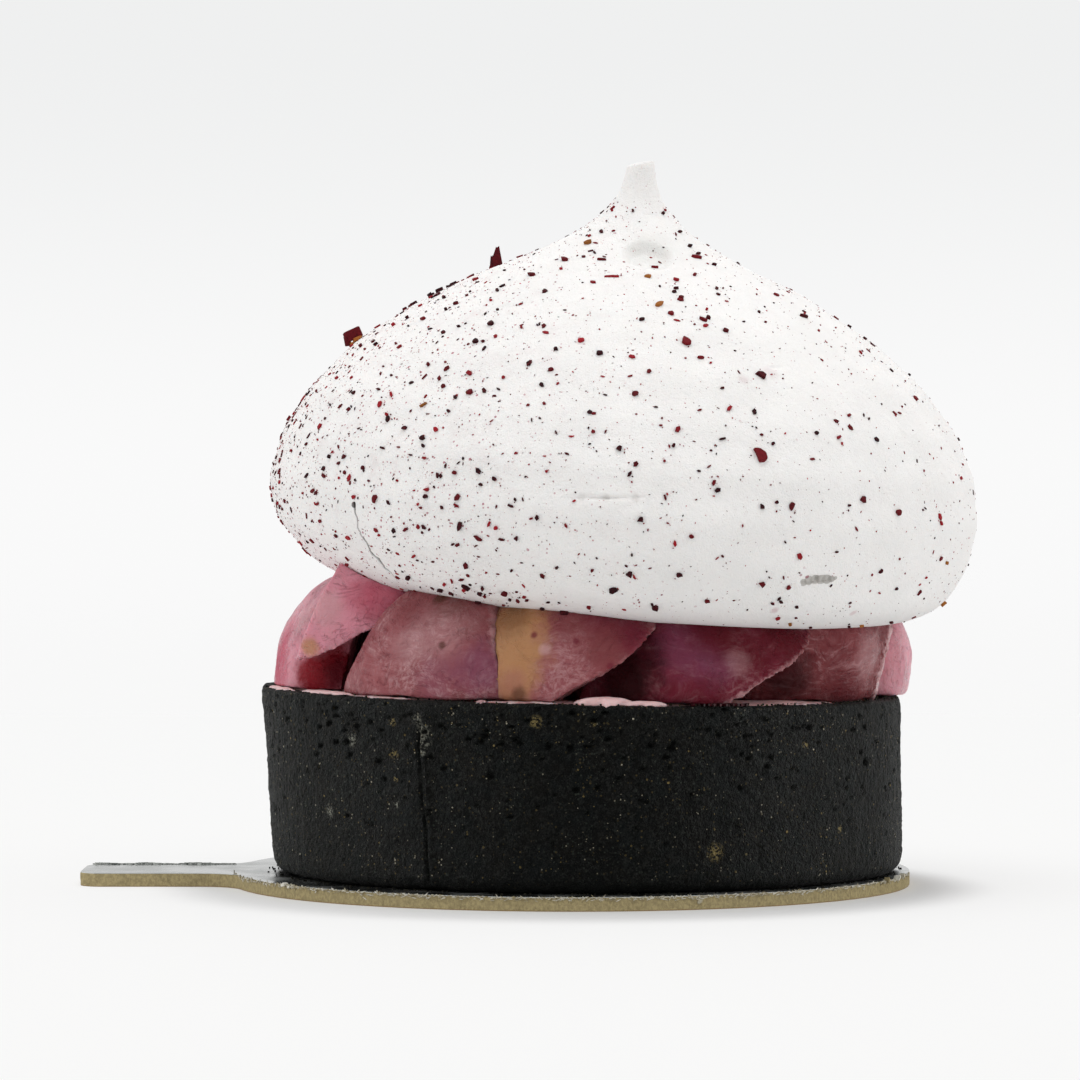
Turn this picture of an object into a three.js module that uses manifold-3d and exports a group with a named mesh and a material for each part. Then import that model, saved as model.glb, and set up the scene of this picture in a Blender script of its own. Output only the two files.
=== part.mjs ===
// A single-portion fruit tart: a charcoal-black shortcrust shell baked in a 75 mm ring, filled
// level with pale pink cream, ringed with poached fruit slices and crowned with one big piped
// meringue that is freckled with dried-fruit flakes. It stands on its own round card with a tab.
//
// Millimetres, +Z up. The origin is the middle of the card's disc, on its underside. The shown
// side faces -Y and the tab points along -X. Directions round the tart are degrees from +X,
// anticlockwise seen from above, so -90 is the shown side.
import * as THREE from "three";
import { mergeVertices } from "three/addons/utils/BufferGeometryUtils.js";
import Module from "manifold-3d";

const wasm = await Module();
wasm.setup();

// ---- Driving dimensions ----------------------------------------------------------------------

const GAP = 0.25; // clearance kept between neighbouring pieces

const CARD_RADIUS = 40;
const CARD_THICKNESS = 1.6;
const TAB_WIDTH = 13.5;
const TAB_REACH = 57.8; // from the disc's centre to the tab's end
const TAB_CORNER = 2.6;
const TAB_FILLET = 5;

const TART_X = 1.4; // the tart stands a little off the disc's centre
const SHELL_RADIUS = 37.7;
const SHELL_HEIGHT = 21.15;
const SHELL_WALL = 2.7;
const SHELL_FLOOR = 3;
const SHELL_FOOT_CHAMFER = 1.2;
const SHELL_TAPER = 0.55; // how much narrower the foot is than the rim, on the radius
const SHELL_LEAN = 0.8; // the foot sits this much further right than the rim
const RIM_SLOPE = 0.018; // the trimmed rim runs down to the right
const SEAM_ANGLE = -119.5; // where the two ends of the pastry strip meet
const SEAM_WIDTH = 0.9;
const SEAM_DEPTH = 0.55;
const PORE_COUNT = 24;

const CREAM_PROUD = 0.15; // the cream stands this much above the rim

const MERINGUE_X = 5.5;
const MERINGUE_Z = 33.9; // height of the middle of its flat foot
const MERINGUE_LEAN_RIGHT = 3.5; // degrees
const MERINGUE_LEAN_FORWARD = 3.6;
const FOOT_RADIUS = 31;
const PEAK_DRIFT = -0.4; // the peak is pulled a little back to the left
const PEAK_SLANT = 0.22; // its broken top slopes up to the right
const FOOT_DRIFT = 1.1; // the foot has settled this far to the right of the dome's axis
const FOOT_SLOPE = 0.02; // and its rim runs down to the right
const LOBE = 0.35; // how far the dome departs from round

// The dome's outline as [radius, height above the foot], from the foot to the pulled peak.
const DOME_OUTLINE = [
  [FOOT_RADIUS, 0],
  [34.6, 0.8],
  [38, 3],
  [40.9, 7.5],
  [41.6, 12],
  [40.2, 18],
  [36.5, 24],
  [30.4, 30],
  [21.2, 36],
  [13.6, 39.5],
  [8, 42.2],
  [4.3, 45],
  [2.3, 48],
  [1.55, 51.3],
];

// The largest flakes of the shown side: degrees round the dome and millimetres up from its foot,
// then length, width, how far the long side turns from level, and how thick it is.
const LARGE_FLAKES = [
  { around: -179, up: 29.1, long: 3.3, wide: 2, turn: 60, thick: 1.8 },
  { around: 179, up: 39.3, long: 1.3, wide: 1.2, turn: 0, thick: 3.2 },
  { around: -69, up: 19.2, long: 2.3, wide: 1.2, turn: 115, thick: 0.9 },
  { around: -79, up: 31.1, long: 1.7, wide: 1, turn: 130, thick: 0.9 },
  { around: -64, up: 27.9, long: 1.5, wide: 1, turn: 150, thick: 0.9 },
  { around: 180, up: 35.8, long: 1.6, wide: 0.9, turn: 70, thick: 0.9 },
  { around: 175, up: 34.4, long: 1.5, wide: 0.9, turn: 30, thick: 0.9 },
  { around: -129, up: 41.2, long: 1.2, wide: 1.1, turn: 30, thick: 0.9 },
  { around: -84, up: 35.1, long: 1.3, wide: 0.9, turn: 30, thick: 0.8 },
  { around: -129, up: 22.2, long: 1.4, wide: 0.7, turn: 30, thick: 0.8 },
  { around: -36, up: 34.5, long: 1.3, wide: 0.7, turn: -25, thick: 0.8 },
  { around: -56, up: 40.4, long: 1.5, wide: 0.7, turn: -20, thick: 0.8 },
  { around: -121, up: 24.1, long: 1.2, wide: 1, turn: 80, thick: 0.8 },
  { around: -98, up: 29.3, long: 1.1, wide: 0.9, turn: 0, thick: 0.8 },
  { around: -50, up: 14.9, long: 1, wide: 1, turn: 0, thick: 0.8 },
  { around: -64, up: 13.5, long: 1.3, wide: 0.8, turn: 70, thick: 0.8 },
  { around: -90, up: 25.2, long: 1.1, wide: 0.9, turn: 20, thick: 0.8 },
  { around: -117, up: 9.4, long: 1.2, wide: 0.9, turn: 70, thick: 0.8 },
  { around: -154, up: 9.9, long: 1.3, wide: 0.7, turn: 85, thick: 0.8 },
  { around: -107, up: 8.7, long: 1.1, wide: 0.8, turn: 10, thick: 0.8 },
  { around: -89, up: 5.6, long: 1, wide: 0.9, turn: 80, thick: 0.8 },
  { around: -92, up: 3.6, long: 1.2, wide: 1, turn: 30, thick: 0.9 },
  { around: -117, up: 3, long: 1.3, wide: 0.9, turn: -50, thick: 0.9 },
  { around: -110, up: 3.2, long: 1.3, wide: 0.8, turn: 10, thick: 0.9 },
  { around: -76, up: 3.4, long: 1.1, wide: 0.9, turn: 0, thick: 0.9 },
  { around: -101, up: 3, long: 1.6, wide: 1.2, turn: 15, thick: 1 },
  { around: -11, up: 3.2, long: 1.1, wide: 0.8, turn: 80, thick: 0.9 },
];
const FLAKE_COUNT = 84; // with the large ones
const FLAKE_SEED = 11;
const FLAKE_SINK = 0.2; // the share of a flake's thickness by which its middle stands proud

// The hollows that show, placed and turned as the flakes are, with their depth.
const HOLLOWS = [
  { around: -86, up: 40, long: 7.4, wide: 5.6, turn: 0, thick: 2.6 }, // dent under the peak
  { around: -58, up: 5.9, long: 4.2, wide: 1.2, turn: 8, thick: 1.4 }, // slit-like pit
  { around: -94, up: 13.8, long: 11.5, wide: 0.7, turn: 1, thick: 0.6 }, // long crease
];
const CRACK = [[-138, 10.7], [-137, 8], [-134, 4.4], [-132, 2.2]]; // degrees round and height up
const CRACK_WIDTH = 0.55;
const CRACK_DEPTH = 0.9;

// A fruit slice is a piece of a rounded fruit between knife cuts. Seen from outside the tart its
// own +X runs along the ring to the right, +Y points in to the tart's centre and +Z up. Left,
// right, inner and lower are the cuts' distances from its middle, and the slants are how far the
// tops of the left, right and lower cuts lean to the right. RightIn is how far the right cut faces
// inwards. It lies on the slices that "over" names.
const SLICE = {
  ring: 24.5, height: 23.5, along: 15, deep: 12.4, tall: 13.6, yaw: 10,
  left: 14, leftSlant: 20, right: 10, rightSlant: 30, rightIn: 0.25, inner: 8,
  lower: 20, lowerSlant: 30, over: [],
};
const SLICES = [
  {
    name: "fruit_slice_01", at: -123, left: 8.7, leftSlant: 32, right: 8.6, rightSlant: -16, yaw: 2,
  },
  {
    name: "fruit_slice_02", at: -92, left: 12, leftSlant: 0, right: -1.2, rightSlant: 53.5,
    lower: 0.3, lowerSlant: 60, over: [1],
  },
  { name: "fruit_slice_03", at: -60, along: 18, right: -2.45, rightSlant: 65.5, over: [1, 2] },
  {
    name: "fruit_slice_04", at: -25, ring: 25.5, height: 29, tall: 12, right: 12.1,
    rightSlant: 24.4, rightIn: -1.3, over: [3],
  },
  { name: "fruit_slice_05", at: 12, ring: 27, height: 26, deep: 13, tall: 12, right: 8, over: [4] },
  { name: "fruit_slice_06", at: 48, over: [5] },
  { name: "fruit_slice_07", at: 84, right: 3, rightSlant: 45, over: [6] },
  { name: "fruit_slice_08", at: 118, ring: 24, right: 9, rightSlant: 12, over: [7] },
  { name: "fruit_slice_09", at: 153, right: 8.5, rightSlant: 30, over: [8] },
  {
    name: "fruit_slice_10", at: 187, deep: 12, tall: 14.2, right: 14, rightSlant: -10, inner: -2.5,
    over: [1, 9, 11],
  },
  {
    name: "fruit_slice_11", at: -153, ring: 27.5, height: 31, along: 11, deep: 9.5, tall: 10,
    yaw: -63, left: 5.5, leftSlant: 25, right: -1.8, rightSlant: 60, inner: 5, over: [1], pale: true,
  },
];

// ---- Finishes --------------------------------------------------------------------------------

const matte = (color, roughness) => new THREE.MeshStandardMaterial({ color, roughness, metalness: 0 });
const FINISHES = {
  card: matte(0x9b917a, 0.85),
  crust: matte(0x17191a, 0.8),
  cream: matte(0xe7c3c2, 0.5),
  fruit: matte(0xa8506a, 0.35),
  paleFruit: matte(0xc27a92, 0.35),
  meringue: matte(0xf3f1ee, 0.9),
};

// ---- Helpers ---------------------------------------------------------------------------------

const { degToRad, radToDeg, smoothstep } = THREE.MathUtils;

// A seeded random number source, from 0 to 1.
function randomSource(seed) {
  let state = seed >>> 0;
  return () => {
    state = (state + 0x6d2b79f5) >>> 0;
    let t = Math.imul(state ^ (state >>> 15), 1 | state);
    t = (t + Math.imul(t ^ (t >>> 7), 61 | t)) ^ t;
    return ((t ^ (t >>> 14)) >>> 0) / 4294967296;
  };
}

// The geometry with nothing but merged vertex positions.
function merged(geometry) {
  geometry.deleteAttribute("normal").deleteAttribute("uv");
  return mergeVertices(geometry, 1e-4);
}

// A closed geometry as a solid that can be joined and cut.
function solidOf(geometry) {
  const { index, attributes } = merged(geometry);
  const triVerts = [];
  for (let i = 0; i < index.count; i += 3) {
    const [a, b, c] = [index.getX(i), index.getX(i + 1), index.getX(i + 2)];
    if (a !== b && b !== c && c !== a) triVerts.push(a, b, c);
  }
  return new wasm.Manifold(new wasm.Mesh({
    numProp: 3,
    vertProperties: attributes.position.array,
    triVerts: new Uint32Array(triVerts),
  }));
}

function geometryOf(solid) {
  const { vertProperties, triVerts } = solid.getMesh();
  const geometry = new THREE.BufferGeometry();
  geometry.setAttribute("position", new THREE.BufferAttribute(new Float32Array(vertProperties), 3));
  geometry.setIndex(new THREE.BufferAttribute(new Uint32Array(triVerts), 1));
  geometry.computeVertexNormals();
  return geometry;
}

// Moves every vertex by a rule that changes the vector it is given.
function reshape(geometry, rule) {
  const position = geometry.getAttribute("position");
  const point = new THREE.Vector3();
  for (let i = 0; i < position.count; i++) {
    point.fromBufferAttribute(position, i);
    rule(point);
    position.setXYZ(i, point.x, point.y, point.z);
  }
  return geometry;
}

// A body of revolution about +Z from [radius, height] points that start and end on the axis.
function turned(outline, segments) {
  const points = outline.map(([radius, height]) => new THREE.Vector2(radius, height));
  return new THREE.LatheGeometry(points, segments).rotateX(Math.PI / 2);
}

// A place turned about X, then Y, then Z, by angles in radians.
function place(x, y, z, turnX = 0, turnY = 0, turnZ = 0) {
  const turn = new THREE.Matrix4().makeRotationFromEuler(new THREE.Euler(turnX, turnY, turnZ, "ZYX"));
  return turn.setPosition(x, y, z);
}

const tart = new THREE.Group();

function addPiece(name, geometry, material) {
  const mesh = new THREE.Mesh(geometry, material);
  mesh.name = name;
  tart.add(mesh);
}

// ---- Card: a disc with a rounded tab, filleted where they join -------------------------------

function arcPoints(x, y, radius, from, to, steps) {
  return Array.from({ length: steps + 1 }, (_, i) => {
    const angle = from + ((to - from) * i) / steps;
    return new THREE.Vector2(x + radius * Math.cos(angle), y + radius * Math.sin(angle));
  });
}

function cardGeometry() {
  const half = TAB_WIDTH / 2;
  const filletY = half + TAB_FILLET;
  const filletX = -Math.sqrt((CARD_RADIUS + TAB_FILLET) ** 2 - filletY ** 2);
  const meet = Math.atan2(filletY, -filletX); // from -X to where a fillet meets the disc
  const cornerX = TAB_CORNER - TAB_REACH;
  const cornerY = half - TAB_CORNER;
  const outline = new THREE.Shape([
    ...arcPoints(0, 0, CARD_RADIUS, meet - Math.PI, Math.PI - meet, 72),
    ...arcPoints(filletX, filletY, TAB_FILLET, -meet, -Math.PI / 2, 6).slice(1),
    ...arcPoints(cornerX, cornerY, TAB_CORNER, Math.PI / 2, Math.PI, 5),
    ...arcPoints(cornerX, -cornerY, TAB_CORNER, Math.PI, 1.5 * Math.PI, 5),
    ...arcPoints(filletX, -filletY, TAB_FILLET, Math.PI / 2, meet, 6).slice(0, -1),
  ]);
  return new THREE.ExtrudeGeometry(outline, { depth: CARD_THICKNESS, bevelEnabled: false });
}

addPiece("card", cardGeometry(), FINISHES.card);

// ---- Pastry shell ----------------------------------------------------------------------------

const shellBottom = CARD_THICKNESS + 0.02;
const shellInner = SHELL_RADIUS - SHELL_WALL;

// A place on the shell's wall whose own +Y points in and +Z up.
function onShell(angle, height, depth) {
  const turn = degToRad(angle);
  const radius = SHELL_RADIUS - SHELL_TAPER / 2 - depth;
  const x = TART_X + radius * Math.cos(turn);
  return place(x, radius * Math.sin(turn), shellBottom + height, 0, 0, turn + Math.PI / 2);
}

function leanWithShell(p) {
  p.x += SHELL_LEAN * (1 - p.z / SHELL_HEIGHT);
}

function shellBlank() {
  const foot = SHELL_RADIUS - SHELL_TAPER;
  const outline = [
    [0, 0],
    [foot - SHELL_FOOT_CHAMFER, 0],
    [foot, SHELL_FOOT_CHAMFER],
    [foot + SHELL_TAPER * 0.4, SHELL_HEIGHT * 0.55],
    [SHELL_RADIUS, SHELL_HEIGHT - 0.7],
    [SHELL_RADIUS - 0.5, SHELL_HEIGHT],
    [shellInner, SHELL_HEIGHT],
    [shellInner - SHELL_TAPER, SHELL_FLOOR],
    [0, SHELL_FLOOR],
  ];
  const wall = reshape(turned(outline, 64), (p) => {
    const angle = Math.atan2(p.y, p.x);
    const upper = smoothstep(p.z, SHELL_FLOOR, SHELL_HEIGHT);
    const outside = smoothstep(Math.hypot(p.x, p.y), shellInner, SHELL_RADIUS - 1);
    const wave = outside * (0.12 * Math.sin(3 * angle + 0.7) + 0.1 * Math.sin(7 * angle));
    p.x += wave * Math.cos(angle);
    p.y += wave * Math.sin(angle);
    p.z += upper * (outside * 0.1 * Math.sin(5 * angle + 1) - RIM_SLOPE * p.x);
    leanWithShell(p);
  });
  return solidOf(wall.translate(TART_X, 0, shellBottom));
}

// The groove that the butted ends of the pastry strip leave down the wall.
function seamGroove() {
  const length = SHELL_HEIGHT * 0.86;
  const groove = new THREE.CylinderGeometry(SEAM_WIDTH / 2, SEAM_WIDTH / 2, length, 6);
  groove.rotateX(Math.PI / 2).scale(1, (2 * SEAM_DEPTH) / SEAM_WIDTH, 1);
  return solidOf(groove.applyMatrix4(onShell(SEAM_ANGLE, length / 2 + SHELL_FOOT_CHAMFER, -0.15)));
}

// The larger air holes that show in the crust.
function pores() {
  const random = randomSource(5);
  return Array.from({ length: PORE_COUNT }, (_, i) => {
    const pore = new THREE.OctahedronGeometry(0.45 + 0.35 * random());
    pore.scale(1 + random(), 1, 0.8);
    const angle = (360 / PORE_COUNT) * (i + 0.8 * random());
    const height = 2.5 + (SHELL_HEIGHT - 5) * random();
    return solidOf(pore.applyMatrix4(onShell(angle, height, -0.05)));
  });
}

const pastryShell = shellBlank().subtract(wasm.Manifold.union([seamGroove(), ...pores()]));
addPiece("pastry_shell", geometryOf(pastryShell), FINISHES.crust);

// ---- Cream: fills the shell level with its rim -----------------------------------------------

function creamGeometry() {
  const top = SHELL_HEIGHT + CREAM_PROUD;
  const bottom = SHELL_FLOOR + GAP;
  const radius = shellInner - GAP - 0.05;
  const outline = [
    [0, bottom],
    [radius - SHELL_TAPER, bottom],
    [radius, top - 0.5],
    [radius - 0.5, top - 0.05],
    [radius * 0.6, top],
    [0, top],
  ];
  const cream = reshape(turned(outline, 56), (p) => {
    p.z -= smoothstep(p.z, bottom + 1, top - 1) * RIM_SLOPE * p.x;
    leanWithShell(p);
  });
  return cream.translate(TART_X, 0, shellBottom);
}

addPiece("cream", creamGeometry(), FINISHES.cream);

// ---- Meringue's bare dome, in its own frame with its foot at Z = 0 ---------------------------

const domeCurve = new THREE.SplineCurve(DOME_OUTLINE.map(([r, h]) => new THREE.Vector2(r, h)));
const peakHeight = DOME_OUTLINE.at(-1)[1];
const meringuePlace = place(
  MERINGUE_X, 0, MERINGUE_Z, degToRad(MERINGUE_LEAN_FORWARD), degToRad(MERINGUE_LEAN_RIGHT),
);

// How the piped dome departs from a body of revolution.
function pipeShape(p) {
  const angle = Math.atan2(p.y, p.x);
  const lobe = LOBE * smoothstep(Math.hypot(p.x, p.y), 10, 36);
  const swell = lobe * (Math.sin(2 * angle + 0.6) * 0.6 + Math.sin(3 * angle - 0.8) * 0.5);
  p.x += swell * Math.cos(angle) + PEAK_DRIFT * smoothstep(p.z, 37, 46);
  p.x += FOOT_DRIFT * (1 - smoothstep(p.z, 0, 12));
  p.z -= FOOT_SLOPE * p.x * (1 - smoothstep(p.z, 0, 10));
  p.y += swell * Math.sin(angle);
}

function domeGeometry(rings, segments, grow = 0) {
  const side = domeCurve.getPoints(rings).map((p) => [p.x + grow, p.y]);
  const foot = [[0, -grow], [FOOT_RADIUS * 0.8, -grow], [FOOT_RADIUS, -grow]];
  return reshape(turned([...foot, ...side.slice(1), [0, peakHeight]], segments), (p) => {
    pipeShape(p);
    p.z += PEAK_SLANT * p.x * smoothstep(p.z, peakHeight - 0.6, peakHeight);
  });
}

// Where along its outline the dome reaches a height above its foot.
function alongAt(height) {
  let [low, high] = [0, 1];
  for (let i = 0; i < 24; i++) {
    const middle = (low + high) / 2;
    if (domeCurve.getPoint(middle).y < height) low = middle;
    else high = middle;
  }
  return low;
}

// A place on the dome whose own +X runs round it to the right, +Y up it and +Z out of it.
function onDome(around, up) {
  const angle = degToRad(around);
  const along = alongAt(up);
  const pointAt = (a, t) => {
    const { x: radius, y: height } = domeCurve.getPoint(t);
    const p = new THREE.Vector3(radius * Math.cos(a), radius * Math.sin(a), height);
    pipeShape(p);
    return p;
  };
  const step = 1e-3;
  const point = pointAt(angle, along);
  const right = pointAt(angle + step, along).sub(point).normalize();
  const rise = pointAt(angle, Math.min(along + step, 1)).sub(point);
  const out = right.clone().cross(rise).normalize();
  return new THREE.Matrix4().makeBasis(right, out.clone().cross(right), out).setPosition(point);
}

// ---- Fruit slices, fitted under the bare dome ------------------------------------------------

// A block that takes away all that lies further along a direction than a distance.
function beyond(direction, distance) {
  const size = 80;
  const block = new THREE.BoxGeometry(size, size, size).translate(size / 2 + distance, 0, 0);
  const turn = new THREE.Quaternion();
  turn.setFromUnitVectors(new THREE.Vector3(1, 0, 0), direction.normalize());
  return block.applyQuaternion(turn);
}

function sliceBlank(slice, grow) {
  const angle = degToRad(slice.at);
  const facing = angle + Math.PI / 2 - degToRad(slice.yaw);
  const [x, y] = [slice.ring * Math.cos(angle), slice.ring * Math.sin(angle)];
  const here = place(TART_X + x, y, slice.height, 0, 0, facing);
  const slanted = (degrees, lengthwise, inward) => {
    const slant = degToRad(degrees);
    return new THREE.Vector3(lengthwise * Math.cos(slant), inward, -lengthwise * Math.sin(slant));
  };
  const cuts = [
    beyond(slanted(slice.rightSlant, 1, slice.rightIn), slice.right + grow),
    beyond(slanted(slice.leftSlant, -1, 0.1), slice.left + grow),
    beyond(slanted(slice.lowerSlant, 1, 0), slice.lower + grow),
    beyond(new THREE.Vector3(0, 1, -0.2), slice.inner + grow),
  ];
  const round = new THREE.SphereGeometry(1, 20, 12).rotateX(Math.PI / 2);
  round.scale(slice.along + grow, slice.deep + grow, slice.tall + grow).applyMatrix4(here);
  const cutSolids = cuts.map((cut) => solidOf(cut.applyMatrix4(here)));
  return solidOf(round).subtract(wasm.Manifold.union(cutSolids));
}

// All that lies lower than a clearance above the rim and the cream.
function underFruit() {
  const block = new THREE.BoxGeometry(200, 200, 40).translate(0, 0, -20);
  block.rotateY(Math.atan(RIM_SLOPE));
  return solidOf(block.translate(TART_X, 0, shellBottom + SHELL_HEIGHT + CREAM_PROUD + GAP));
}

const slices = SLICES.map((own) => ({ ...SLICE, ...own }));
const overFruit = solidOf(domeGeometry(16, 40, GAP).applyMatrix4(meringuePlace));
const fruitLimits = underFruit().add(overFruit);
const sliceSolids = slices.map((slice) => {
  const neighbours = slice.over.map((number) => sliceBlank(slices[number - 1], GAP));
  const solid = sliceBlank(slice, 0).subtract(wasm.Manifold.union([fruitLimits, ...neighbours]));
  return solid.decompose().sort((a, b) => b.volume() - a.volume())[0];
});
slices.forEach(({ name, pale }, i) => {
  addPiece(name, geometryOf(sliceSolids[i]), pale ? FINISHES.paleFruit : FINISHES.fruit);
});

// ---- Meringue with its hollows, its crack and its flakes -------------------------------------

// A flake is a crooked lump, half sunk in the dome.
function flakeGeometry({ around, up, long, wide, turn, thick }, random) {
  const flake = merged(new THREE.IcosahedronGeometry(0.5));
  reshape(flake, (p) => p.multiplyScalar(0.85 + 0.35 * random()));
  flake.scale(long, wide, thick).rotateZ(degToRad(turn)).translate(0, 0, thick * FLAKE_SINK);
  return flake.applyMatrix4(onDome(around, up));
}

// Flakes lie thickest on the left and thin out to the right. One that would touch the fruit is
// left out.
function flakes() {
  const random = randomSource(FLAKE_SEED);
  const toDome = meringuePlace.clone().invert().toArray();
  const fruit = wasm.Manifold.union(sliceSolids).transform(toDome);
  const chosen = [];
  const add = (flake) => {
    const solid = solidOf(flakeGeometry(flake, random));
    if (solid.intersect(fruit).isEmpty()) chosen.push(solid);
  };
  LARGE_FLAKES.forEach(add);
  while (chosen.length < FLAKE_COUNT) {
    const around = 360 * random();
    const leftness = 0.5 - 0.5 * Math.cos(degToRad(around));
    if (random() > 0.35 + 0.65 * leftness) continue;
    const long = 0.9 + 0.6 * random();
    const wide = long * (0.5 + 0.4 * random());
    add({ around, up: 3.5 + 40 * random(), long, wide, turn: 180 * random(), thick: 0.8 });
  }
  return chosen;
}

function hollowSolid({ around, up, long, wide, turn, thick }) {
  const hollow = new THREE.SphereGeometry(0.5, 12, 8).scale(long, wide, 2 * thick);
  return solidOf(hollow.rotateZ(degToRad(turn)).applyMatrix4(onDome(around, up)));
}

// One slit for each leg of the crack, long enough to overlap the next.
function crackSlits() {
  return CRACK.slice(1).map(([around, up], i) => {
    const [fromAround, fromUp] = CRACK[i];
    const middle = (up + fromUp) / 2;
    const sideways = degToRad(around - fromAround) * domeCurve.getPoint(alongAt(middle)).x;
    return hollowSolid({
      around: (around + fromAround) / 2,
      up: middle,
      long: Math.hypot(sideways, up - fromUp) * 1.6,
      wide: CRACK_WIDTH,
      turn: radToDeg(Math.atan2(up - fromUp, sideways)),
      thick: CRACK_DEPTH,
    });
  });
}

const hollows = wasm.Manifold.union([...HOLLOWS.map(hollowSolid), ...crackSlits()]);
const bareDome = solidOf(domeGeometry(26, 48));
const meringue = bareDome.subtract(hollows).add(wasm.Manifold.union(flakes()));
addPiece("meringue", geometryOf(meringue).applyMatrix4(meringuePlace), FINISHES.meringue);

export default tart;
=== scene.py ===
"""A single-portion fruit tart with a black crust and one large speckled meringue.

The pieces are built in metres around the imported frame, each by its own operator. The shown side
faces -Y, the card's tab points along -X and Z is up.
"""

import math
import random
from contextlib import contextmanager

import bmesh
import bpy
import numpy as np
from bpy.props import FloatProperty, FloatVectorProperty, IntProperty, PointerProperty
from mathutils import Matrix, Vector, kdtree


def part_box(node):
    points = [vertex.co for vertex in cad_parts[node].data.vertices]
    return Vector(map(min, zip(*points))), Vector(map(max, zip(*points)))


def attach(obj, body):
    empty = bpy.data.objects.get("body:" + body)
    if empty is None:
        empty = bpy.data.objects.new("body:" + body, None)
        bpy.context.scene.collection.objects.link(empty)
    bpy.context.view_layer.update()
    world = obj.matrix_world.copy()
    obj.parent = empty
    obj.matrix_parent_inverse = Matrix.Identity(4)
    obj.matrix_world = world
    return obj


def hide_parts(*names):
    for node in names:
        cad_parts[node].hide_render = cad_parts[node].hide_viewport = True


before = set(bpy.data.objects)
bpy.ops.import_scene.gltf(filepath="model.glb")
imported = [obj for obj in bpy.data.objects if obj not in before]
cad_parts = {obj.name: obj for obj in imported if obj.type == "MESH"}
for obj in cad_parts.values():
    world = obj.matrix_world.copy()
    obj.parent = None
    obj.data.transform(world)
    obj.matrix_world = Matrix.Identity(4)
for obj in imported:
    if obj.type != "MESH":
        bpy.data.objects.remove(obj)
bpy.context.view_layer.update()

bl_info = {
    "name": "Fruit Tart",
    "version": (1, 0, 0),
    "blender": (4, 5, 0),
    "location": "View3D > Sidebar > Tart",
    "description": "Builds a black-crusted fruit tart crowned with a speckled meringue",
    "category": "Object",
}

MM = 0.001
UP = Vector((0, 0, 1))

# ---- Places taken from the frame ---------------------------------------------------------------

SHELL_LOW, SHELL_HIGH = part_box("pastry_shell")
CARD_LOW, CARD_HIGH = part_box("card")
TART_X = (SHELL_LOW.x + SHELL_HIGH.x) / 2
SHELL_FOOT_Z = SHELL_LOW.z

# ---- Fixed proportions, as in the solids ---------------------------------------------------------

RIM_SLOPE = 0.018  # the rim runs down to the right
SHELL_HEIGHT = 21.15 * MM
SHELL_LEAN = 0.8 * MM  # the shell's foot sits further right than its rim
SEAM_ANGLE = math.radians(-119.5)

# The dome's outline as (radius, height above its foot), from the foot to the pulled peak.
DOME_OUTLINE = [
    (31 * MM, 0),
    (34.6 * MM, 0.8 * MM),
    (38 * MM, 3 * MM),
    (40.9 * MM, 7.5 * MM),
    (41.6 * MM, 12 * MM),
    (40.2 * MM, 18 * MM),
    (36.5 * MM, 24 * MM),
    (30.4 * MM, 30 * MM),
    (21.2 * MM, 36 * MM),
    (13.6 * MM, 39.5 * MM),
    (8 * MM, 42.2 * MM),
    (4.3 * MM, 45 * MM),
    (2.3 * MM, 48 * MM),
    (1.55 * MM, 51.3 * MM),
]
PEAK_HEIGHT = DOME_OUTLINE[-1][1]
PEAK_DRIFT = -0.4 * MM
PEAK_SLANT = 0.22
FOOT_DRIFT = 1.1 * MM
FOOT_SLOPE = 0.02
LOBE = 0.35 * MM
DOME_PLACE = (
    Matrix.Translation((5.5 * MM, 0, 33.9 * MM))
    @ Matrix.Rotation(math.radians(3.5), 4, "Y")
    @ Matrix.Rotation(math.radians(3.6), 4, "X")
)

# Where the photographer's eye was, and the lens. Places "as seen" are (across, up) on the plane
# Y = 0.
EYE = Vector((-3.7 * MM, -590 * MM, 48.6 * MM))
LOOKS_DOWN = math.radians(0.78)
LENS, SENSOR = 166, 36  # millimetres

# ---- Properties ----------------------------------------------------------------------------------


def length(name, description, default):
    return FloatProperty(name=name, description=description, default=default, unit="LENGTH")


def count(name, description, default):
    return IntProperty(name=name, description=description, default=default)


def colour(name, description, default):
    return FloatVectorProperty(
        name=name, description=description, default=default, subtype="COLOR", size=3, min=0, max=1
    )


class TartSizes(bpy.types.PropertyGroup):
    shell_radius: length("Shell radius", "Radius of the crust at its rim", 37.7 * MM)
    shell_wall: length("Shell wall", "Thickness of the crust's wall", 2.7 * MM)
    shell_taper: length("Shell taper", "How much narrower the crust's foot is", 0.55 * MM)
    foil: length("Foil thickness", "Thickness of the card's silver face", 0.07 * MM)
    liner: length("Liner thickness", "Thickness of the card's paper underside", 0.1 * MM)
    crust_grain: length("Crust grain", "Height of the crust's crumb", 0.16 * MM)
    cream_dip: length("Cream unevenness", "Height of the swells in the cream", 0.25 * MM)
    fruit_swell: length("Fruit swell", "Height of the soft bumps on the fruit", 0.45 * MM)
    dome_swell: length("Meringue swell", "Height of the soft waves on the meringue", 0.32 * MM)


class TartScatter(bpy.types.PropertyGroup):
    seed: count("Seed", "Start of every random draw", 7)
    pores: count("Crust pores", "Number of air holes", 2800)
    flakes: count("Flakes", "Number of small flakes", 2500)
    dust: count("Dust", "Number of specks of dust", 6500)
    wet_crumbs: count("Wet crumbs", "Number of dark wet crumbs on the rim", 60)
    rim_crumbs: count("Rim crumbs", "Number of black crumbs on the rim", 420)
    card_crumbs: count("Card crumbs", "Number of black crumbs on the card", 200)
    fibres: count("Fibres", "Number of torn fibres on the card's edge", 900)
    burr: count("Burr", "Number of bits of foil on the tab's torn edge", 260)


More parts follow.
